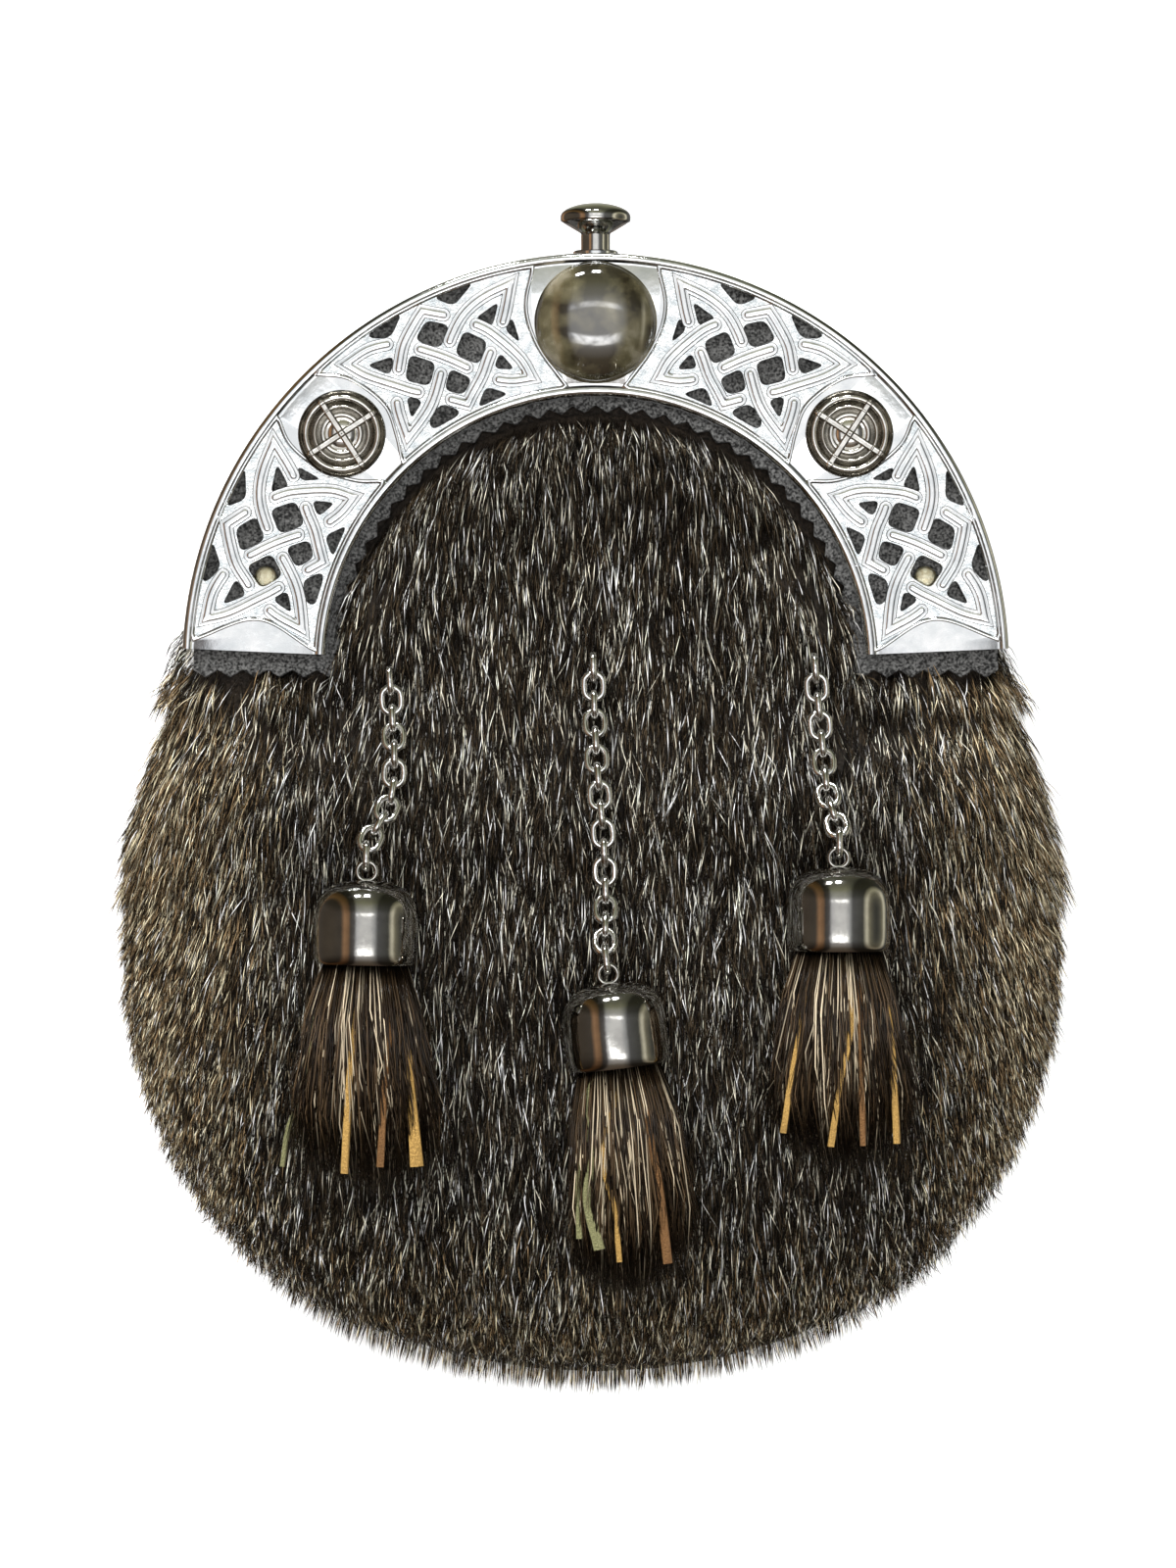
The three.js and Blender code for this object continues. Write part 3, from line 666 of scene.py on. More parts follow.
def archPlate(setup):
    deselectAll()
    profile = setup["profile"]
    bpy.ops.mesh.primitive_circle_add(vertices=len(profile), radius=1 * mm, fill_type="NGON")
    plate = bpy.context.active_object
    start = math.radians(setup["end"])
    for vert, (radius, height) in zip(plate.data.vertices, profile):
        vert.co = (-math.sin(start) * radius * mm, archCentre.y + math.cos(start) * radius * mm, height * mm)
    bpy.ops.object.mode_set(mode="EDIT")
    bpy.ops.mesh.select_all(action="SELECT")
    bpy.ops.mesh.spin(steps=setup["steps"], angle=2 * start, center=archCentre, axis=(0, 0, 1))
    return cleanMesh(plate)


claspSetup = {"half": 6.6, "low": 66, "high": 80.6, "under": 16.4, "over": 26.6, "axis": 21.5, "bore": 3.25,
              "collar": [(4.3, 78), (4.3, 81.2), (4.5, 81.4), (4.5, 82), (4.3, 82.25), (3.4, 82.25)]}


def blockPiece(name, low, high, bevel):
    deselectAll()
    bpy.ops.mesh.primitive_cube_add(size=1, location=(Vector(low) + Vector(high)) / 2 * mm)
    block = bpy.context.active_object
    block.name = name
    block.dimensions = (Vector(high) - Vector(low)) * mm
    settle(block)
    useModifier(block, "BEVEL", width=bevel * mm, segments=3)
    return block


# a piece turned around Z is laid along Y with its heights pointing to +Y
layAlongY = Matrix(((-1, 0, 0, 0), (0, 0, 1, 0), (0, 1, 0, 0), (0, 0, 0, 1)))


def claspHousing(setup):
    base = archCentre.y / mm
    housing = blockPiece("clasp_housing", (-setup["half"], base + setup["low"], setup["under"]),
                         (setup["half"], base + setup["high"], setup["over"]), 0.7)
    bridge = blockPiece("clasp_bridge", (-setup["half"], base + 79.3, setup["axis"]),
                        (setup["half"], base + setup["high"], 31), 0.4)
    collar = turnedPiece("clasp_collar", setup["collar"])
    rise = Matrix.Translation(Vector((0, archCentre.y, setup["axis"] * mm)))
    placeMesh(collar, rise @ layAlongY)
    bore = turnedPiece("bore", [(setup["bore"], 68.5), (setup["bore"], 84)], 32)
    placeMesh(bore, rise @ layAlongY)
    for piece in (housing, collar):
        useModifier(piece, "BOOLEAN", operation="DIFFERENCE", object=bore, solver="EXACT")
    bpy.data.objects.remove(bore)
    return [housing, bridge, collar]


# the second finish on the arch's inner step is a painted shadow under the plate's edge; in the grooves beside
# its two ridges it is painted shade, partly tarnish
def markShadeAndTarnish(plate):
    for polygon in plate.data.polygons:
        radius = math.hypot(polygon.center.x, polygon.center.y - archCentre.y) / mm
        groove = polygon.center.z / mm < 31.83 and (78.8 < radius < 79.35 or 55.9 < radius < 56.4)
        polygon.material_index = 1 if radius < 53.98 or groove else 0


def makeCantle(setup):
    plate = archPlate(setup)
    floors, arms, frames = [], [], []
    for panel in cantlePanels:
        for side in (1, -1):
            cutter = prismPiece("panel_cut", panelOutline(panel, side, 0.1), 28, 34)
            useModifier(plate, "BOOLEAN", operation="DIFFERENCE", object=cutter, solver="EXACT")
            bpy.data.objects.remove(cutter)
            floors.append(panelFloor(panel, side, setup))
            frames.append(panelFrameLine(panel, side, setup))
            arms.append(panelArms(panel, side, setup))
    markShadeAndTarnish(plate)
    plate = joinPieces("cantle_plate", [plate] + claspHousing(claspSetup))
    finishPiece(plate, silverPlate, standsFor=("cantle",), smoothAngle=38, second=shadeAndTarnish)
    finishPiece(joinPieces("cantle_panel_floors", floors), castSilver, smoothAngle=35)
    for name, pieces, angle in (("cantle_panel_frames", frames, 50), ("cantle_knot_bands", arms, 42)):
        finishPiece(joinPieces(name, pieces), silverPlate, smoothAngle=angle, second=shadeAndTarnish)


makeCantle(cantleSetup)
print("cantle made")


# pieces stand on the low face of their CAD node
def nodeCentre(node):
    low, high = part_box(node)
    return (low + high) / 2


def standOn(piece, node):
    centre = nodeCentre(node)
    placeMesh(piece, Matrix.Translation(Vector((centre.x, centre.y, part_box(node)[0].z))))
    return piece


# the mirror dome at the top of the arch
domeSetup = {"rim": [(12, 0), (12, 0.5), (11.94, 0.68), (11.82, 0.76), (11.72, 0.72)],
             "radius": 11.7, "base": 0.7, "rise": 5.6, "steps": 20, "fullness": 0.84}


def makeDome(setup):
    rows = list(setup["rim"])
    for i in range(setup["steps"] + 1):
        turn = math.pi / 2 * i / setup["steps"]
        rows.append((setup["radius"] * math.cos(turn) ** setup["fullness"],
                     setup["base"] + setup["rise"] * math.sin(turn) ** setup["fullness"]))
    dome = standOn(turnedPiece("dome", rows, 72), "center_dome")
    finishPiece(dome, hematite, standsFor=("center_dome",), smoothAngle=50)


makeDome(domeSetup)


# the two round bosses: a dark plate with a thick rim, then two rings, a heart and a cross of grooved bars
bossSetup = {
    "plate": [(8.6, 0), (8.6, 0.8), (8.52, 1.2), (8.32, 1.55), (8.1, 1.7), (7.9, 1.6), (7.7, 1.3), (7.5, 1),
              (6.6, 0.9), (6.3, 0.5), (6, 0.4), (5.6, 0.6), (5, 0.6), (4.6, 0.4), (4.2, 0.45), (3.4, 0.8),
              (2.8, 0.95), (1.4, 1.1), (0, 1.15)],
    "rings": [(7.08, 0.6), (5.3, 0.36)], "reliefLow": 0.6, "ringTop": 1.95,
    "heart": [(4.05, 0.5), (4.05, 1.3), (3.9, 1.55), (3.6, 1.62), (3.3, 1.5), (3.1, 1.2), (2.8, 1.15),
              (2.5, 1.4), (1.4, 1.55), (0, 1.6)],
    "turn": 33, "barHalf": 0.72, "barReach": 7.9, "barTop": 2.1, "barSteps": 20,
}


def ringPiece(radius, half, low, top):
    deselectAll()
    bpy.ops.mesh.primitive_circle_add(vertices=72, radius=radius * mm, fill_type="NOTHING")
    ring = bpy.context.active_object
    bm = bmesh.new()
    outline = [Vector((v.co.x, v.co.y)) for v in ring.data.vertices]
    rows = [(half, low), (half, top - 0.6), (half * 0.88, top - 0.32), (half * 0.62, top - 0.1),
            (half * 0.25, top),
            (0, top)]
    bandMesh(bm, outline, [(distance * mm, height) for distance, height in rows], closed=True)
    bmesh.ops.remove_doubles(bm, verts=bm.verts, dist=0.01 * mm)
    bmesh.ops.recalc_face_normals(bm, faces=bm.faces)
    bm.to_mesh(ring.data)
    bm.free()
    return ring


def makeBoss(side, setup):
    node = "boss_left" if side > 0 else "boss_right"
    plate = turnedPiece(node.replace("boss", "boss_plate"), setup["plate"], 72)
    low = setup["reliefLow"]
    pieces = [ringPiece(radius, half, low, setup["ringTop"]) for radius, half in setup["rings"]]
    pieces.append(turnedPiece("boss_heart", setup["heart"], 72))
    half, top, steps = setup["barHalf"], setup["barTop"], setup["barSteps"]
    rows = [(half, low), (half, top - 0.3), (half - 0.12, top - 0.06), (half - 0.26, top),
            (half - 0.34, top - 0.28),
            (0.12, top - 0.3), (0, top - 0.3)]
    for along in (Vector((1, 0)), Vector((0, 1))):
        bm = bmesh.new()
        reach = setup["barReach"] * mm - half * mm
        bandMesh(bm, [along * (-reach + 2 * reach * i / steps) for i in range(steps + 1)],
                 [(distance * mm, height) for distance, height in rows])
        bmesh.ops.remove_doubles(bm, verts=bm.verts, dist=0.01 * mm)
        bmesh.ops.recalc_face_normals(bm, faces=bm.faces)
        pieces.append(pieceFromBmesh("boss_bar", bm))
    relief = joinPieces(node.replace("boss", "boss_relief"), pieces)
    placeMesh(relief, Matrix.Rotation(math.radians(side * setup["turn"]), 4, "Z"))
    finishPiece(standOn(plate, node), gunmetal, standsFor=(node,), smoothAngle=40)
    finishPiece(standOn(relief, node), bossMetal, smoothAngle=40)


for side in (1, -1):
    makeBoss(side, bossSetup)


rivetSetup = {"rows": [(2.2, 0), (2.2, 0.3), (2.05, 0.5), (1.6, 0.68), (0.9, 0.8), (0, 0.84)]}
for name in ("rivet_left", "rivet_right"):
    finishPiece(standOn(turnedPiece(name.replace("rivet", "rivet_head"), rivetSetup["rows"], 32), name),
                rivetMetal, standsFor=(name,), smoothAngle=50)


# the push knob of the clasp, turned on the axis of the collar
knobSetup = {"rows": [(2.9, 71.9), (2.9, 85.45), (3.1, 85.7), (3.6, 85.95), (4.8, 86.6), (6.1, 87.35),
                      (6.75, 87.8),
                      (6.95, 88.1), (7, 88.5), (7, 89.1), (6.9, 89.55), (6.65, 89.95), (6.2, 90.35),
                      (5.5, 90.75),
                      (4.5, 91.15), (3.2, 91.5), (1.7, 91.72), (0, 91.78)]}


def makeKnob(setup):
    knob = turnedPiece("push_knob", setup["rows"], 64)
    placeMesh(knob, Matrix.Translation(Vector((0, archCentre.y, nodeCentre("clasp_knob").z))) @ layAlongY)
    finishPiece(knob, knobMetal, body="knob", standsFor=("clasp_knob",), smoothAngle=35)


makeKnob(knobSetup)
print("dome, bosses, rivets and knob made")


# the chains: one smooth link is modelled, and a copy lies at each CAD link's place
linkSetup = {"bow": 1.9, "wire": 0.7, "stretch": 0.65}


def linkPiece(setup):
    deselectAll()
    bpy.ops.mesh.primitive_torus_add(major_segments=22, minor_segments=9, major_radius=setup["bow"] * mm,
                                     minor_radius=setup["wire"] * mm)
    link = bpy.context.active_object
    for vert in link.data.vertices:
        vert.co.y += math.copysign(setup["stretch"] * mm, vert.co.y) if abs(vert.co.y) > 1e-7 else 0
    return link


# a CAD node's middle and its long, wide and thin directions
def nodeAxes(node):
    points = np.array([v.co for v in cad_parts[node].data.vertices])
    low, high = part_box(node)
    centre = np.array((low + high) / 2)
    vectors = np.linalg.eigh(np.cov((points - points.mean(axis=0)).T))[1]
    long, wide = Vector(vectors[:, 2]), Vector(vectors[:, 1])
    basis = Matrix((wide, long, wide.cross(long))).transposed().to_4x4()
    return Matrix.Translation(Vector(centre)) @ basis


def makeChain(name, setup):
    nodes = sorted(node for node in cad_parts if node.startswith("chain_" + name))
    links = []
    for node in nodes:
        link = linkPiece(setup)
        placeMesh(link, nodeAxes(node))
        links.append(link)
    chain = joinPieces("chain_" + name, links)
    finishPiece(chain, chainMetal, standsFor=nodes, smoothAngle=60)


# the tassels' bell caps, laid on the fur with their eyes up the chain
tassels = {
    "left": {"top": (-44.2, -41.6), "lean": -1, "spread": (7.2, 14.6), "length": 45, "bend": -2, "droop": 4},
    "middle": {"top": (2.6, -61.4), "lean": 7, "spread": (7.2, 12.6), "length": 46, "bend": 3, "droop": 6},
    "right": {"top": (46.9, -39), "lean": 0, "spread": (7.2, 14.6), "length": 44, "bend": -2, "droop": 4},
}
capSetup = {
    "rows": [(0, 1.1), (3.9, 1.2), (6.5, 2.3), (8.2, 4.4), (9, 7.4), (8.95, 15.5), (9, 15.95), (9.15, 16.15),
             (9.35, 16.18), (9.55, 15.95), (9.72, 15.5), (9.86, 14.9), (9.95, 14.1), (10, 13.2),
             (10.02, 11.6),
             (10.02, 9.6), (10, 7.8), (9.88, 6.3), (9.6, 4.9), (9.1, 3.6), (8.35, 2.5), (7.3, 1.55),
             (5.9, 0.8),
             (4.3, 0.35), (2.9, 0.1), (0, 0)],
    "eye": 1.85, "wire": 0.52, "rise": 1.75,
}


# a tassel's own frame: X across it, Y down its length, Z up off the fur
def tasselFrame(name):
    setup = tassels[name]
    low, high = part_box("tassel_cap_" + name)
    lean = math.radians(setup["lean"])
    down = Vector((math.sin(lean), -math.cos(lean), 0))
    top = Vector((setup["top"][0] * mm, archCentre.y + setup["top"][1] * mm, (low.z + high.z) / 2))
    across = Vector((-down.y, down.x, 0))
    basis = Matrix((-across, down, Vector((0, 0, 1)))).transposed().to_4x4()
    return Matrix.Translation(top) @ basis


def makeCap(name, setup):
    bell = turnedPiece("cap", setup["rows"], 72)
    placeMesh(bell, layAlongY)
    deselectAll()
    bpy.ops.mesh.primitive_torus_add(major_segments=32, minor_segments=12, major_radius=setup["eye"] * mm,
                                     minor_radius=setup["wire"] * mm, location=(0, -setup["rise"] * mm, 0))
    eye = bpy.context.active_object
    settle(eye)
    cap = joinPieces("bell_cap_" + name, [bell, eye])
    placeMesh(cap, tasselFrame(name))
    finishPiece(cap, capMetal, standsFor=("tassel_cap_" + name,), smoothAngle=40)


for name in tassels:
    makeChain(name, linkSetup)
    makeCap(name, capSetup)
print("chains and caps made")


# leather pieces keep their CAD shapes, with softened cut edges
leatherSetup = [
    {"node": "cantle_backing", "name": "leather_backing", "bevel": 0.25, "smooth": 30},
    {"node": "gusset", "name": "leather_gusset", "bevel": 0.3, "smooth": 40},
    {"node": "back_panel", "name": "leather_back", "bevel": 0.5, "smooth": 40},
    {"node": "strap_loop_left", "name": "leather_loop_left", "bevel": 0.4, "smooth": 30},
    {"node": "strap_loop_right", "name": "leather_loop_right", "bevel": 0.4, "smooth": 30},
]


def makeLeather(setup):
    piece = copyNode(setup["node"], setup["name"], flatten=1)
    useModifier(piece, "BEVEL", width=setup["bevel"] * mm, segments=2, limit_method="ANGLE",
                angle_limit=math.radians(40))
    finishPiece(piece, blackLeather, standsFor=(setup["node"],), smoothAngle=setup["smooth"])


for setup in leatherSetup:
    makeLeather(setup)


# stitches sit in the leather, with their backs a little proud
# rows are (share of the half length, height, width)
stitchSetup = {
    "rows": [(-1, -0.3, 0.5), (-0.7, -0.14, 1), (0.7, -0.14, 1), (1, -0.3, 0.5)],
    "length": 2.6, "half": 0.26, "sides": 5, "step": 3.7, "backInset": 3.2, "loopInset": 2, "loopRow": 8.5,
}


# short waxed stitches between the points of a row, each a small bent bar
def stitchRow(points, setup):
    verts, faces = [], []
    sides, half = setup["sides"], setup["length"] / 2 * mm
    for start, end in zip(points, points[1:]):
        along = (end - start).normalized()
        across = downwards.cross(along).normalized()
        base = len(verts)
        for share, lift, width in setup["rows"]:
            at = (start + end) / 2 + along * (half * share) + downwards * (lift * mm)
            for turn in range(sides):
                angle = 2 * math.pi * turn / sides
                ray = across * math.cos(angle) + downwards * math.sin(angle)
                verts.append(at + ray * (setup["half"] * width * mm))
        last = base + sides * (len(setup["rows"]) - 1)
        for ring in range(base, last, sides):
            for turn in range(sides):
                a, b = ring + turn, ring + (turn + 1) % sides
                faces.append((a, b, b + sides, a + sides))
        faces.append(tuple(base + turn for turn in range(sides))[::-1])
        faces.append(tuple(last + turn for turn in range(sides)))
    return verts, faces


def stitchPiece(name, lines, material):
    verts, faces = [], []
    for points in lines:
        rowVerts, rowFaces = stitchRow(points, stitchSetup)
        faces += [tuple(index + len(verts) for index in face) for face in rowFaces]
        verts += rowVerts
    mesh = bpy.data.meshes.new(name)
    mesh.from_pydata(verts, [], faces)
    finishPiece(addObject(name, mesh), material, smoothAngle=60)


downwards = Vector((0, 0, -1))


def waxedThread():
    material, nodes, links, shader = newMaterial("waxedThread", (0.05, 0.045, 0.04), 0.55)
    twist = objectPattern(nodes, links, "ShaderNodeTexNoise", 4000, Detail=3.0)
    tint(nodes, links, shader, twist.outputs["Fac"], (0.35, (0.03, 0.027, 0.024)), (0.7, (0.11, 0.10, 0.09)))
    addBump(nodes, links, shader, twist.outputs["Fac"], 0.6, 0.2 * mm)
    return material


# the lowest point of a CAD node's surface over x and y, or None beside it
def underSide(node):
    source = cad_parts[node].data
    source.calc_loop_triangles()
    tree = BVHTree.FromPolygons([v.co for v in source.vertices],
                                [t.vertices[:] for t in source.loop_triangles])
    return lambda x, y: tree.ray_cast(Vector((x, y, -0.05)), -downwards)[0]


# the outline of the back, drawn in by an inset, dropped onto its under side
def backStitches(setup, directions=720, halvings=16):
    low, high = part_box("back_panel")
    under = underSide("back_panel")
    middle = Vector(((low.x + high.x) / 2, archCentre.y - 40 * mm))
    edge = []
    for k in range(directions):
        turn = 2 * math.pi * k / directions
        away = Vector((math.sin(turn), math.cos(turn)))
        lowReach, highReach = 0.0, 0.2
        for _ in range(halvings):
            reach = (lowReach + highReach) / 2
            if under(*(middle + away * reach)) is None:
                highReach = reach
            else:
                lowReach = reach
        edge.append(middle + away * (lowReach - setup["backInset"] * mm))
    line = smoothLine(edge[::6] + [edge[0]], setup["step"] * mm)
    return [under(p.x, p.y) or Vector((p.x, p.y, 0)) for p in line]


def loopStitches(side, setup):
    low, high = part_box("strap_loop_" + side)
    under = underSide("strap_loop_" + side)
    inset, row = setup["loopInset"] * mm, setup["loopRow"] * mm
    length = high.x - low.x - 2 * inset
    count = round(length / (setup["step"] * mm))
    lines = []
    for y in (low.y + inset, low.y + row, high.y - row, high.y - inset):
        points = [under(low.x + inset + length * k / count, y) for k in range(count + 1)]
        lines.append([point for point in points if point])
    return lines


thread = waxedThread()
stitchPiece("back_stitching", [backStitches(stitchSetup)], thread)
stitchPiece("loop_stitching", loopStitches("left", stitchSetup) + loopStitches("right", stitchSetup), thread)
print("leather made")


# fur: short spindle hairs planted on the hide, each with its own colour
def furHide():
    piece = copyNode("fur_front", "fur_hide")
    for vert in piece.data.vertices:
        vert.co.x *= hideDraw["left" if vert.co.x < 0 else "right"]
        vert.co.y = furPole.y + (vert.co.y - furPole.y) * (hideDraw["foot"] if vert.co.y < furPole.y else 1)
    return finishPiece(piece, underfur, standsFor=("fur_front",), smoothAngle=60)


# the hide is drawn in a little, so that the hair reaches the pouch's outline
furPole = Vector((0, archCentre.y - 40 * mm))
hideDraw = {"left": 1.012, "right": 0.995, "foot": 0.956}
hide = furHide()


def unit(rows):
    return rows / np.maximum(1e-12, np.linalg.norm(rows, axis=1, keepdims=True))


# hairs as one mesh: a root point, a ring of three around each bend, and a tip
def hairMesh(name, lines, radii, colors, glintEnds):
    count, steps = lines.shape[0], lines.shape[1]
    rings = steps - 2
    sides = 3
    perHair = 2 + sides * rings
    pairs = [(turn, (turn + 1) % sides) for turn in range(sides)]
    verts = np.zeros((count, perHair, 3))
    verts[:, 0] = lines[:, 0]
    verts[:, -1] = lines[:, -1]
    for k in range(rings):
        along = unit(lines[:, k + 2] - lines[:, k])
        across = unit(np.cross(along, np.broadcast_to((0.0, 0.0, 1.0), along.shape)) + 1e-6)
        up = np.cross(across, along)
        for turn in range(sides):
            angle = 2 * math.pi * turn / sides + math.pi / 2
            outward = across * math.cos(angle) + up * math.sin(angle)
            verts[:, 1 + sides * k + turn] = lines[:, k + 1] + outward * radii[:, k][:, None]
    faces = [(0, 1 + a, 1 + b) for a, b in pairs]
    for k in range(rings - 1):
        base = 1 + sides * k
        for a, b in pairs:
            faces += [(base + a, base + a + sides, base + b + sides), (base + a, base + b + sides, base + b)]
    last = 1 + sides * (rings - 1)
    faces += [(last + a, perHair - 1, last + b) for a, b in pairs]
    faces = (np.array(faces)[None, :, :] + (np.arange(count) * perHair)[:, None, None]).reshape(-1, 3)
    mesh = bpy.data.meshes.new(name)
    mesh.vertices.add(count * perHair)
    mesh.vertices.foreach_set("co", verts.reshape(-1))
    mesh.loops.add(len(faces) * 3)
    mesh.loops.foreach_set("vertex_index", faces.reshape(-1).astype(np.int32))
    mesh.polygons.add(len(faces))
    mesh.polygons.foreach_set("loop_start", np.arange(0, len(faces) * 3, 3, dtype=np.int32))
    mesh.polygons.foreach_set("use_smooth", np.ones(len(faces), dtype=bool))
    mesh.update(calc_edges=True)
    layer = mesh.color_attributes.new("hairColor", "FLOAT_COLOR", "POINT")
    tones = np.ones((count, perHair, 4))
    tones[:, :, :3] = colors[:, None, :]
    # root and tip are dimmed, so that the tone peaks between them in a painted glint band
    tones[:, 0, :3] *= glintEnds[:, 0, None]
    tones[:, -1, :3] *= glintEnds[:, 1, None]
    tones[:, :, :3] **= 1 / glintSharpness
    layer.data.foreach_set("color", tones.reshape(-1))
    finishPiece(addObject(name, mesh), hairShine)


furSetup = {"seed": 11, "hairs": 106000, "length": (8.0, 14.0), "radius": (0.055, 0.105), "pieces": 5,
            "lift": (0.03, 0.24), "clump": 5, "clumpPull": 0.12, "tuck": 2.4,
            "brownOver": 0.5, "silverOver": 0.855, "tanShare": 0.5, "goldShare": 0.2}
# the silver and gold tones are as bright as glints: painted highlights on pale hairs
furTones = {"dark": (0.007, 0.005, 0.0035), "brown": (0.050, 0.036, 0.021), "silver": (0.97, 0.91, 0.74),
            "tan": (0.23, 0.155, 0.08), "goldGlint": (0.92, 0.80, 0.54)}


# where hair grows, in mm: radii about the arch's centre, widths from the middle, heights over the floor
# centre is how far below the arch's centre the pouch's middle lies, and rimExtra is a share
furRoom = {"centre": 40, "underArch": 49.2, "ledge": 27.2, "wall": (47.5, 50.5), "turnedIn": 23.5,
           "rimRadius": 49.5, "tabs": (49, 86), "rimReach": 2.2, "rimExtra": 2.5, "tuckArch": (45, 48.5)}


def plantRoots(rng, count):
    mesh = hide.data
    mesh.calc_loop_triangles()
    points = np.array([v.co for v in mesh.vertices])
    normals = np.array([v.normal for v in mesh.vertices])
    triangles = np.array([t.vertices[:] for t in mesh.loop_triangles])
    corners = points[triangles]
    flat = np.cross(corners[:, 1] - corners[:, 0], corners[:, 2] - corners[:, 0])
    area = np.linalg.norm(flat, axis=1) / 2
    flat = unit(flat)
    middle = corners.mean(axis=1)
    outer = middle[:, :2] - np.array((0, archCentre.y - furRoom["centre"] * mm))
    facingOut = (flat[:, :2] * outer).sum(axis=1) / np.linalg.norm(outer, axis=1) + flat[:, 2] * 0.9
    radius = np.hypot(middle[:, 0], middle[:, 1] - archCentre.y)
    wallInner, wallOuter = furRoom["wall"]
    underCantle = (radius > furRoom["underArch"] * mm) & (middle[:, 1] > archCentre.y - 0.5 * mm) \
        & (flat[:, 2] > 0.5) & (middle[:, 2] < furRoom["ledge"] * mm)
    wall = (radius > wallInner * mm) & (radius < wallOuter * mm) & (middle[:, 1] > archCentre.y) \
        & (flat[:, 2] < 0.3)
    turnedIn = (middle[:, 2] < furRoom["turnedIn"] * mm) & (flat[:, 2] < -0.2)
    keep = (facingOut > 0.15) & ~underCantle & ~wall & ~turnedIn
    toArch = np.where(middle[:, 1] > archCentre.y - 2 * mm, furRoom["rimRadius"] * mm - radius, 1)
    toTab = np.where(np.abs(middle[:, 0]) > furRoom["tabs"][0] * mm, archCentre.y - 1 * mm - middle[:, 1], 1)
    toRim = np.clip(np.minimum(np.where(toTab < 0, 1, toTab), toArch), 0, 1)
    rim = np.exp(-toRim / (furRoom["rimReach"] * mm))          # more hair grows right beside the leather
    chance = np.where(keep, area * (1 + furRoom["rimExtra"] * rim), 0)
    picked = rng.choice(len(area), size=count, p=chance / chance.sum())
    u, v = rng.random(count), rng.random(count)
    flip = u + v > 1
    u[flip], v[flip] = 1 - u[flip], 1 - v[flip]
    weights = np.stack((1 - u - v, u, v), axis=1)
    root = (corners[picked] * weights[:, :, None]).sum(axis=1)
    normal = unit((normals[triangles[picked]] * weights[:, :, None]).sum(axis=1))
    return root, unit(normal * 0.6 + flat[picked] * 0.4)


# roots beside the leather move under its edge, so that no bare hide shows there
def tuckRoots(rng, root, tuck):
    away = root[:, :2] - np.array((0, archCentre.y))
    radius = np.linalg.norm(away, axis=1, keepdims=True)
    share = tuck * rng.random((len(root), 1))
    archFrom, archTo = furRoom["tuckArch"]
    besideArch = (radius[:, 0] > archFrom * mm) & (radius[:, 0] < archTo * mm) & (away[:, 1] > -2 * mm)
    root[besideArch, :2] += (away / radius * share)[besideArch]
    tabFrom, tabTo = furRoom["tabs"]
    besideTab = (np.abs(root[:, 0]) > tabFrom * mm) & (np.abs(root[:, 0]) < tabTo * mm) \
        & (away[:, 1] > -5 * mm) & (away[:, 1] < -1 * mm)
    root[besideTab, 1] += share[besideTab, 0]
    root[besideArch, 2] -= 0.5 * tuck
    return root


# the nap runs down the pouch and leans outwards towards its sides
def napDirection(root, normal, rng, scatter=0.17):
    aside = np.clip(np.abs(root[:, 0]) / 0.09, 0, 1)
    lean = np.radians(15) * np.sign(root[:, 0]) * aside ** 2.6 + rng.normal(0, scatter, len(root))
    upper = np.clip((root[:, 1] - archCentre.y) / 0.08, 0, 1)
    lean = lean * (1 - 0.75 * upper)
    nap = np.stack((np.sin(lean), -np.cos(lean), np.zeros(len(root))), axis=1)
    flow = normal * (nap * normal).sum(axis=1, keepdims=True)
    flow[:, 0] *= 0.35                     # the hair hangs, so the pouch's slope turns it aside only a little
    nap -= flow
    short = np.linalg.norm(nap, axis=1) < 0.3
    away = normal.copy()
    away[:, 2] = 0
    nap[short] = unit(away)[short] * 0.5 + np.array((0, -0.5, -0.3))
    return unit(nap)


# dark, brown and silver hairs all over, the silver ones as bright as painted glints; warm ones come in
# towards the sides and the foot, the gold among them also painted glints
def pickTone(rng, root, setup):
    count = len(root)
    side = np.clip((np.abs(root[:, 0]) / 0.092 - 0.62) / 0.3, 0, 1)
    foot = 0.7 * np.clip((archCentre.y - 0.100 - root[:, 1]) / 0.042, 0, 1)
    below = root[:, 1] < archCentre.y + 0.004
    warm = np.maximum(side * below, foot)
    draw = rng.random(count)
    tone = np.empty((count, 3))
    tone[:] = furTones["dark"]
    tone[draw > setup["brownOver"]] = furTones["brown"]
    tone[draw > setup["silverOver"]] = furTones["silver"]
    tone *= rng.uniform(0.3, 1.6, (count, 1))
    tanDraw = rng.random(count) < warm * setup["tanShare"]
    tone[tanDraw] = np.array(furTones["tan"]) * rng.uniform(0.2, 1.5, (tanDraw.sum(), 1))
    goldDraw = rng.random(count) < warm * setup["goldShare"]
    tone[goldDraw] = np.array(furTones["goldGlint"]) * rng.uniform(0.5, 1.1, (goldDraw.sum(), 1))
    return np.clip(tone, 0, 0.97)


# the nap's direction, raised off the hide by each hair's own angle
def lifted(nap, normal, angle):
    return nap * np.cos(angle)[:, None] + normal * np.sin(angle)[:, None]


# a fixed pair of irregular numbers from 0 to 1 for each lock's cell
def scramble(key):
    waves = [np.sin(key[:, 0] * a + key[:, 1] * b) for a, b in ((12.9898, 78.233), (39.346, 11.135))]
    return np.modf(np.abs(np.stack(waves, axis=1)) * 43758.5453)[0]


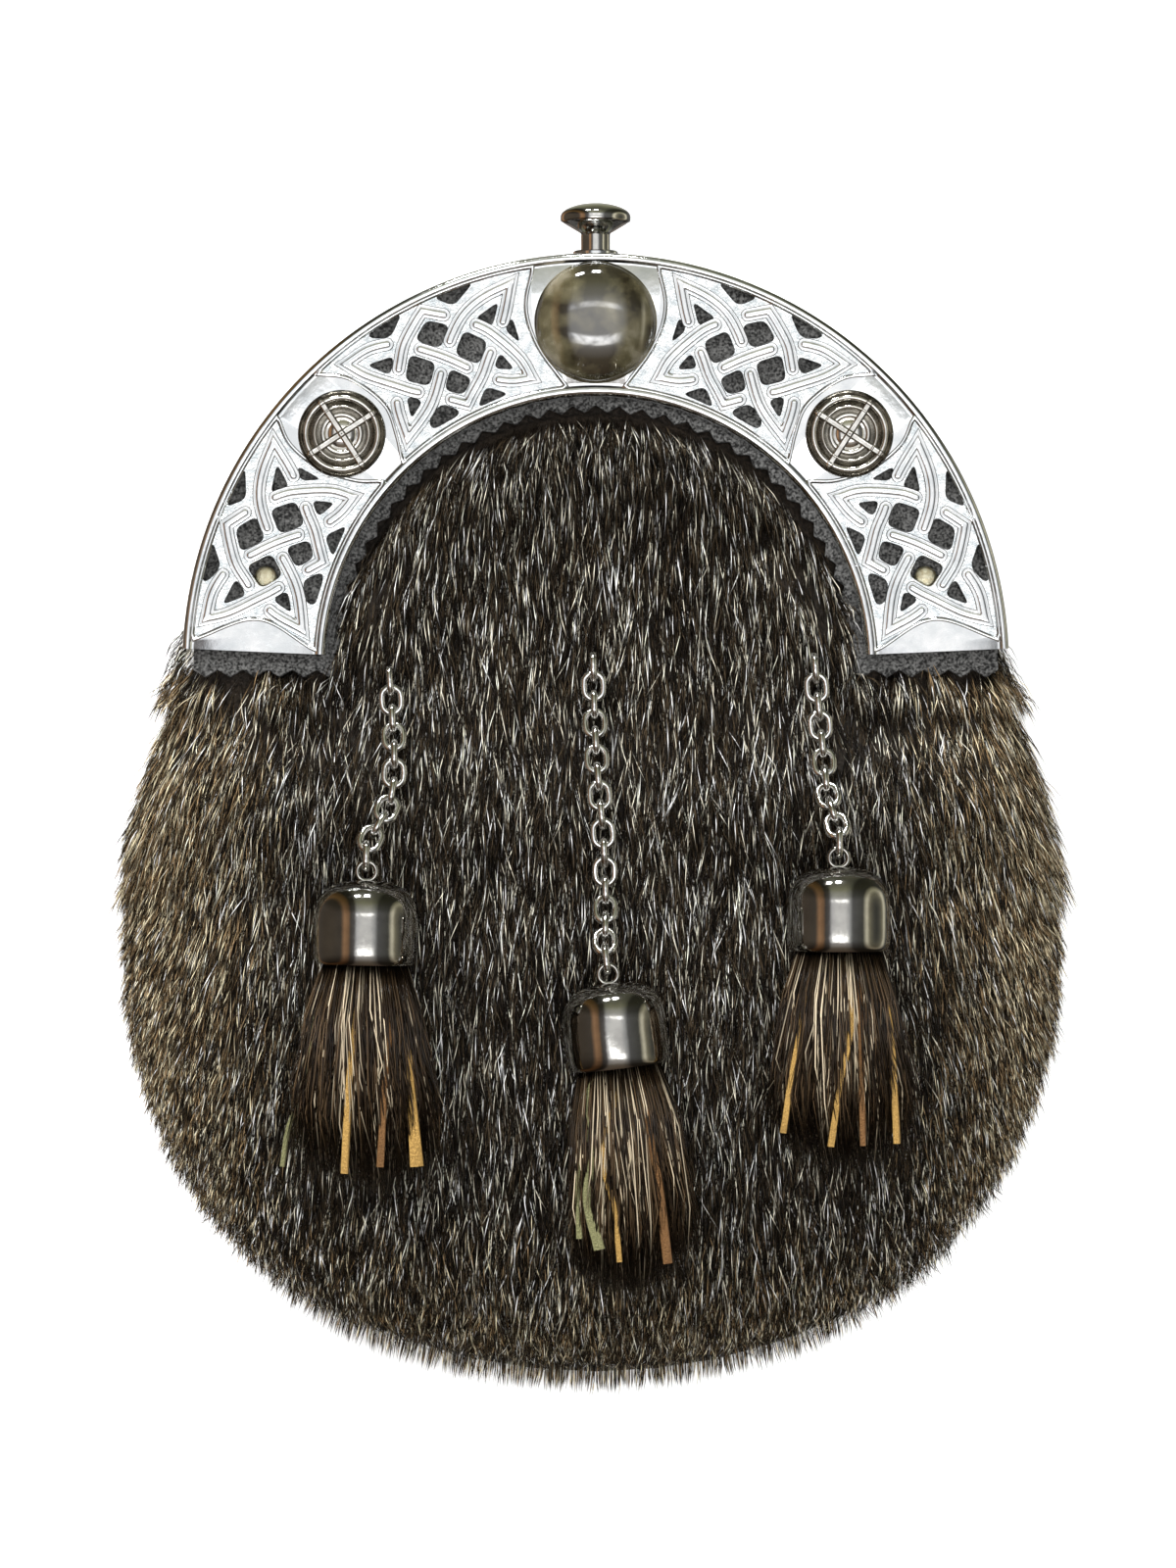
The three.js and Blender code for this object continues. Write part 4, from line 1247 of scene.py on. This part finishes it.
def makeFur(setup):
    rng = np.random.default_rng(setup["seed"])
    count = setup["hairs"]
    root, normal = plantRoots(rng, count)
    root = tuckRoots(rng, root, setup["tuck"] * mm)
    nap = napDirection(root, normal, rng)
    length = rng.uniform(*setup["length"], count) * mm
    rimward = np.hypot(root[:, 0] / 0.089, (root[:, 1] - furPole.y) / 0.098) * (root[:, 1] < furPole.y)
    length *= 1 - 0.5 * np.clip((rimward - 0.8) / 0.2, 0, 1)
    lift = rng.uniform(*setup["lift"], count)
    ledge = (root[:, 2] < furRoom["ledge"] * mm) & (root[:, 1] > archCentre.y - 3 * mm) \
        & (np.abs(root[:, 0]) < furRoom["tabs"][1] * mm)
    lift[ledge] += 0.4
    cell = setup["clump"] * mm
    key = np.floor(root[:, :2] / cell)
    jitter = scramble(key)
    lock = (key + 0.2 + 0.6 * jitter) * cell
    pull = np.zeros((count, 3))
    pull[:, :2] = (lock - root[:, :2]) * setup["clumpPull"]
    pull -= normal * (pull * normal).sum(axis=1, keepdims=True)
    swing = np.zeros((count, 3))
    swing[:, 0] = (jitter[:, 0] - 0.5) * 0.12
    nap = unit(nap + swing)
    bend = rng.uniform(0.5, 0.72, (count, 1))
    reach = length[:, None]
    middle = root + lifted(nap, normal, lift) * (reach * bend) + pull * 0.3
    tip = middle + lifted(nap, normal, lift * 0.35) * (reach * (1 - bend)) + pull
    tip[:, 2] -= rng.uniform(0.1, 0.9, count) * mm
    lines = np.stack((root - normal * 0.3 * mm, middle, tip), axis=1)
    lines[:, :, 2] = np.maximum(lines[:, :, 2], 0.4 * mm)
    tone = pickTone(rng, root, setup)
    radii = rng.uniform(*setup["radius"], (count, 1)) * mm
    # dimmed roots and tips leave each hair brightest in a short middle band, a painted glint; roots at the
    # ledge and the arch's edge are dimmed less
    glintEnds = np.stack((rng.uniform(0.02, 0.12, count), rng.uniform(0.03, 0.7, count) ** 1.5), axis=1)
    archEdge = (np.hypot(root[:, 0], root[:, 1] - archCentre.y) > 46.5 * mm) \
        & (root[:, 1] > archCentre.y - 3 * mm)
    glintEnds[ledge | archEdge, 0] = 0.6
    order = np.argsort(root[:, 0])
    for k, part in enumerate(np.array_split(order, setup["pieces"])):
        hairMesh("fur_hair_" + str(k + 1), lines[part], radii[part], tone[part], glintEnds[part])


makeFur(furSetup)
print("fur made")


# tassels: long hair out of each cap, with a few leather thongs among it
tasselSetup = {"hairs": 5200, "radius": (0.13, 0.22), "capLength": 16.2, "flat": 0.5}
# the pale tone is as bright as a glint: painted highlight on pale hairs
tasselTones = {"dark": (0.012, 0.008, 0.005), "brown": (0.050, 0.032, 0.017), "paleGlint": (0.60, 0.50, 0.35)}


# the tassel's half-width at a share of its length, as its CAD form has it
def tasselWidth(setup, share):
    neck, flare = setup["spread"]
    grown = flare - neck
    widths = (neck, neck + grown * 0.45, neck + grown * 0.75, flare, flare * 0.9, flare * 0.6)
    return np.interp(share, (0, 0.2, 0.45, 0.75, 0.92, 1), widths)


# how high it stands for its width: round at its cap, and flattened towards its end
def tasselFlat(share):
    smooth = np.clip(share / 0.8, 0, 1)
    return 1 - tasselSetup["flat"] * smooth * smooth * (3 - 2 * smooth)


def tasselPoint(setup, share, across, height):
    share = np.asarray(share, dtype=float)
    width = tasselWidth(setup, share)
    flat = tasselFlat(share)
    x = across * width + setup["bend"] * share ** 2
    y = tasselSetup["capLength"] + share * setup["length"]
    z = height * width * flat - setup["droop"] * share ** 2
    return np.stack((x, y, z), axis=-1)


def makeTassel(name, seed):
    setup = tassels[name]
    rng = np.random.default_rng(seed)
    count = tasselSetup["hairs"]
    turn = rng.uniform(0, 2 * math.pi, count)
    spread = np.sqrt(rng.uniform(0.02, 1, count))
    across, height = np.cos(turn) * spread, np.sin(turn) * spread
    reach = rng.uniform(0.45, 1.0, count) ** 0.8 * (1.02 - 0.12 * across ** 2)
    early = np.stack((across * 6.8, np.full(count, 12.0), height * 6.8), axis=1)
    steps = [early]
    for share in (0.3, 0.68):
        aside = across + rng.normal(0, 0.05, count)
        steps.append(tasselPoint(setup, share * reach, aside, height + rng.normal(0, 0.05, count)))
    steps.append(tasselPoint(setup, reach, across * 1.04 + rng.normal(0, 0.09, count), height * 0.9))
    lines = np.stack(steps, axis=1) * mm
    place = np.array(tasselFrame(name))
    lines = lines @ place[:3, :3].T + place[:3, 3]
    radii = np.repeat(rng.uniform(*tasselSetup["radius"], (count, 1)), 2, axis=1) * mm
    radii[:, 1] *= 0.85
    draw = rng.random(count)
    tone = np.empty((count, 3))
    tone[:] = tasselTones["dark"]
    tone[draw > 0.5] = tasselTones["brown"]
    tone *= rng.uniform(0.5, 1.6, (count, 1))
    # pale hairs are scattered through the tassel and crowd its top along the middle: painted highlight on its
    # lit top
    light = (draw > 0.92) | ((np.abs(across - 0.05) < 0.4) & (height > 0.3) & (draw > 0.66) & (reach < 0.9))
    tone[light] = np.array(tasselTones["paleGlint"]) * rng.uniform(0.3, 1.0, (light.sum(), 1))
    glintEnds = np.stack((np.full(count, 0.5), rng.uniform(0.1, 0.8, count)), axis=1)
    hairMesh("tassel_hair_" + name, lines, radii, np.clip(tone, 0, 0.9), glintEnds)
    tasselCore(name, setup)


# the dark middle of the tassel, so that nothing shows through between its hairs
def tasselCore(name, setup):
    start, length = tasselSetup["capLength"], setup["length"]
    rows = [(0, 2), (5.5, 3.2), (7.6, 6), (8.2, 10), (7.6, 15)]
    for share in np.linspace(0, 1, 12):
        rows.append((float(tasselWidth(setup, share)) * 0.74, start + share * length * 0.78))
    rows.append((0, start + length * 0.82))
    core = turnedPiece("tassel_core_" + name, rows, 40)
    placeMesh(core, layAlongY)
    for vert in core.data.vertices:
        share = max(0.0, (vert.co.y / mm - start) / length)
        vert.co.z = vert.co.z * tasselFlat(share) - setup["droop"] * share ** 2 * mm
        vert.co.x += setup["bend"] * share ** 2 * mm
    placeMesh(core, tasselFrame(name))
    finishPiece(core, underfur, standsFor=("tassel_fur_" + name,), smoothAngle=60)


for name, seed in (("left", 31), ("middle", 32), ("right", 33)):
    makeTassel(name, seed)
print("tassels made")


# thongs: flat suede strips; x and y in mm from the arch's centre, then width at the start and at the end
thongSetup = [
    {"tassel": "left", "finish": oliveSuede, "width": (1.0, 1.2), "drop": 3.5,
     "line": [(-53.7, -63.6), (-55.8, -81.1), (-59.3, -88.9), (-60.8, -97.2)]},
    {"tassel": "left", "finish": tanSuede, "width": (1.5, 1.9),
     "line": [(-46, -65.8), (-47.1, -76.7), (-47.8, -88), (-48.4, -98)]},
    {"tassel": "left", "finish": brownSuede, "width": (1.6, 1.8),
     "line": [(-38.9, -64.5), (-40.2, -76.7), (-41, -88.9), (-41.5, -96.7)]},
    {"tassel": "left", "finish": tanSuede, "width": (1.4, 3.4),
     "line": [(-36.2, -72), (-35.8, -79.3), (-35.1, -87.6), (-34.5, -96.7)]},
    {"tassel": "middle", "finish": oliveSuede, "width": (2.3, 2.8),
     "line": [(1.8, -78), (-1.2, -83), (-0.1, -92.5), (-1.5, -102.5), (0.7, -112.6)]},
    {"tassel": "middle", "finish": oliveSuede, "width": (1.2, 1.6),
     "line": [(-0.2, -86.5), (-2.9, -96.5), (-3.3, -104.5), (-3.1, -110.6)]},
    {"tassel": "middle", "finish": tanSuede, "width": (1.2, 1.4),
     "line": [(4.8, -80), (1.3, -94.1), (3.5, -104.5), (4.6, -115)]},
    {"tassel": "middle", "finish": brownSuede, "width": (2.0, 2.4),
     "line": [(8.7, -79), (9.5, -86.5), (12.1, -100.5), (13.9, -115.4)]},
    {"tassel": "right", "finish": tanSuede, "width": (1.4, 1.6),
     "line": [(41.5, -58), (40.2, -65.4), (38, -77.4), (36.1, -90.3)]},
    {"tassel": "right", "finish": tanSuede, "width": (1.3, 1.6),
     "line": [(48.4, -59.5), (48.9, -69.4), (46.8, -81.4), (45.2, -92.8)]},
    {"tassel": "right", "finish": brownSuede, "width": (1.3, 1.5),
     "line": [(50.2, -58), (50.8, -71.4), (51.2, -83.4), (51.4, -92.6)]},
    {"tassel": "right", "finish": tanSuede, "width": (1.4, 1.7),
     "line": [(54.5, -59.5), (56.5, -69.4), (57.4, -81.4), (58, -92.3)]},
]


# a thong's section in shares of its half-width and its half-thickness, which is in mm
thongSection = ((-1, -0.6), (-1, 0.6), (-0.8, 1), (0.8, 1), (1, 0.6), (1, -0.6), (0.8, -1), (-0.8, -1))
thongHalf = 0.45


# the height of a tassel's top over x and y
def tasselSurface(name, x, y):
    setup = tassels[name]
    local = tasselFrame(name).inverted() @ Vector((x, y, 0))
    share = min(1.0, max(0.0, (local.y / mm - tasselSetup["capLength"]) / setup["length"]))
    width = float(tasselWidth(setup, share))
    across = (local.x / mm - setup["bend"] * share ** 2) / width
    rise = math.sqrt(max(0.02, 1 - min(1, across ** 2)))
    top = rise * width * tasselFlat(share) - setup["droop"] * share ** 2
    return tasselFrame(name).translation.z + top * mm


def makeThong(index, setup):
    flat = smoothLine([Vector((x * mm, archCentre.y + y * mm)) for x, y in setup["line"]], 1.2 * mm)
    count = len(flat)
    phase = np.random.default_rng(60 + index).uniform(0, 6.3)
    start, end = setup["width"]
    bm = bmesh.new()
    previous = None
    for i, at in enumerate(flat):
        share = i / (count - 1)
        along = (flat[min(count - 1, i + 1)] - flat[max(0, i - 1)]).normalized()
        width = (start + (end - start) * share) * 0.76 * mm / 2
        # it lies in the hair, deepest at the cap
        sunk = 0.3 + 0.9 * (1 - share) + 0.6 * (1 - min(1, share * 6)) + setup.get("drop", 0) * share ** 2
        height = tasselSurface(setup["tassel"], at.x, at.y) - sunk * mm
        roll = 0.35 * math.sin(phase + share * 7)
        across = Vector((-along.y, along.x, 0)) * math.cos(roll) + Vector((0, 0, 1)) * math.sin(roll)
        up = across.cross(Vector((along.x, along.y, 0)))
        if up.z < 0:
            up = -up
        centre = Vector((at.x, at.y, height))
        ring = [bm.verts.new(centre + across * (width * a) + up * (b * thongHalf * mm)) for a,
                b in thongSection]
        if previous:
            for k in range(len(ring)):
                follow = (k + 1) % len(ring)
                bm.faces.new((previous[k], previous[follow], ring[follow], ring[k]))
        else:
            bm.faces.new(ring)
        previous = ring
    bm.faces.new(previous[::-1])
    bmesh.ops.recalc_face_normals(bm, faces=bm.faces)
    piece = pieceFromBmesh("thong_" + setup["tassel"] + "_" + str(index + 1), bm)
    finishPiece(piece, setup["finish"], smoothAngle=50)


for index, setup in enumerate(thongSetup):
    makeThong(index, setup)
print("thongs made")


# pale floor, soft studio light
def paleFloor():
    deselectAll()
    bpy.ops.mesh.primitive_grid_add(x_subdivisions=4, y_subdivisions=4, size=6)
    floor = bpy.context.active_object
    floor.name = "floor"
    material, nodes, links, shader = newMaterial("floorPaper", (0.93, 0.93, 0.93), 0.9)
    fleck = objectPattern(nodes, links, "ShaderNodeTexNoise", 60, Detail=4.0)
    tint(nodes, links, shader, fleck.outputs["Fac"], (0.3, (0.925, 0.925, 0.925)), (0.7, (0.94, 0.94, 0.94)))
    floor.data.materials.append(material)
    floor.visible_glossy = False


def areaLight(name, location, size, power):
    data = bpy.data.lights.new(name, "AREA")
    data.shape = "SQUARE"
    data.size = size
    data.energy = power
    light = addObject(name, data)
    light.location = location
    light.rotation_euler = (Vector((0, 0, 0)) - Vector(location)).to_track_quat("-Z", "Y").to_euler()
    light.visible_camera = False
    return light


# the studio around the pouch: white overhead, with dark flags and warm strips towards the sides
studioSetup = {
    "acrossX": [(0.0, (0.10, 0.08, 0.06)), (0.09, (0.10, 0.085, 0.07)), (0.14, (0.50, 0.29, 0.16)),
                (0.20, (0.34, 0.20, 0.11)), (0.235, (0.11, 0.10, 0.09)), (0.30, (0.16, 0.15, 0.15)),
                (0.35, (0.85, 0.86, 0.88)), (0.42, (1, 1, 1)), (0.60, (1, 1, 1)), (0.68, (0.62, 0.63, 0.64)),
                (0.74, (0.16, 0.16, 0.16)), (0.90, (0.10, 0.10, 0.09)), (0.945, (0.95, 0.90, 0.70)),
                (0.97, (0.30, 0.28, 0.20)), (1.0, (0.08, 0.08, 0.07))],
    "alongY": [(0.0, (0.10, 0.07, 0.05)), (0.22, (0.16, 0.13, 0.10)), (0.34, (0.45, 0.42, 0.40)),
               (0.42, (0.95, 0.95, 0.95)), (0.62, (1, 1, 1)), (0.70, (0.55, 0.55, 0.50)),
               (0.84, (0.30, 0.30, 0.20)),
               (1.0, (0.10, 0.10, 0.07))],
    "glowX": [(0.29, 0), (0.34, 0.6), (0.4, 1), (0.54, 1), (0.62, 0.7), (0.7, 0)],
    "glowY": [(0.37, 0), (0.39, 1), (0.445, 1), (0.465, 0), (0.60, 0), (0.61, 0.5), (0.63, 0.5), (0.65, 0)],
    "glow": 5.5, "strength": 1.04,
    "softLights": [("keyLight", (-0.8, 0.75, 0.85), 0.45, 34), ("fillLight", (0.6, -0.3, 1.3), 1.2, 18),
                   ("topLight", (0, 0.1, 1.6), 1.4, 20)],
    "sparks": [("sparkLeft", (-0.34, 1.2, 0.42), 0.16, 5), ("sparkRight", (0.02, 1.25, 0.42), 0.16, 5)],
}


def studioWorld(setup):
    world = bpy.data.worlds.new("studio")
    bpy.context.scene.world = world
    world.use_nodes = True
    nodes, links = world.node_tree.nodes, world.node_tree.links
    place = nodes.new("ShaderNodeTexCoord")
    split = nodes.new("ShaderNodeSeparateXYZ")
    links.new(place.outputs["Generated"], split.inputs["Vector"])
    ramps = []
    for axis, stops in (("X", setup["acrossX"]), ("Y", setup["alongY"])):
        share = valueRange(nodes, links, split.outputs[axis], 0.0, 1.0, -1.0, 1.0)
        ramps.append(colorRamp(nodes, links, share, stops))
    mix = nodes.new("ShaderNodeVectorMath")
    mix.operation = "MULTIPLY"
    links.new(ramps[0], mix.inputs[0])
    links.new(ramps[1], mix.inputs[1])
    lobes = nodes.new("ShaderNodeVectorMath")
    lobes.operation = "MULTIPLY"
    for slot, (axis, stops) in enumerate((("X", setup["glowX"]), ("Y", setup["glowY"]))):
        share = valueRange(nodes, links, split.outputs[axis], 0.0, 1.0, -1.0, 1.0)
        stops = [(at, (level, level, level)) for at, level in stops]
        links.new(colorRamp(nodes, links, share, stops), lobes.inputs[slot])
    cloud = nodes.new("ShaderNodeTexNoise")
    cloud.inputs["Scale"].default_value = 7
    cloud.inputs["Detail"].default_value = 3
    links.new(place.outputs["Generated"], cloud.inputs["Vector"])
    patch = nodes.new("ShaderNodeMath")
    patch.operation = "MULTIPLY_ADD"
    links.new(lobes.outputs["Vector"], patch.inputs[0])
    links.new(valueRange(nodes, links, cloud.outputs["Fac"], 0.4, setup["glow"]), patch.inputs[1])
    patch.inputs[2].default_value = 1
    lit = nodes.new("ShaderNodeVectorMath")
    lit.operation = "SCALE"
    links.new(mix.outputs["Vector"], lit.inputs[0])
    links.new(patch.outputs["Value"], lit.inputs["Scale"])
    background = nodes["Background"]
    links.new(lit.outputs["Vector"], background.inputs["Color"])
    background.inputs["Strength"].default_value = setup["strength"]


paleFloor()
studioWorld(studioSetup)
for row in studioSetup["softLights"]:
    areaLight(*row).visible_glossy = False
for row in studioSetup["sparks"]:
    areaLight(*row)
bpy.context.scene.view_settings.view_transform = "Standard"
print("floor and light made")
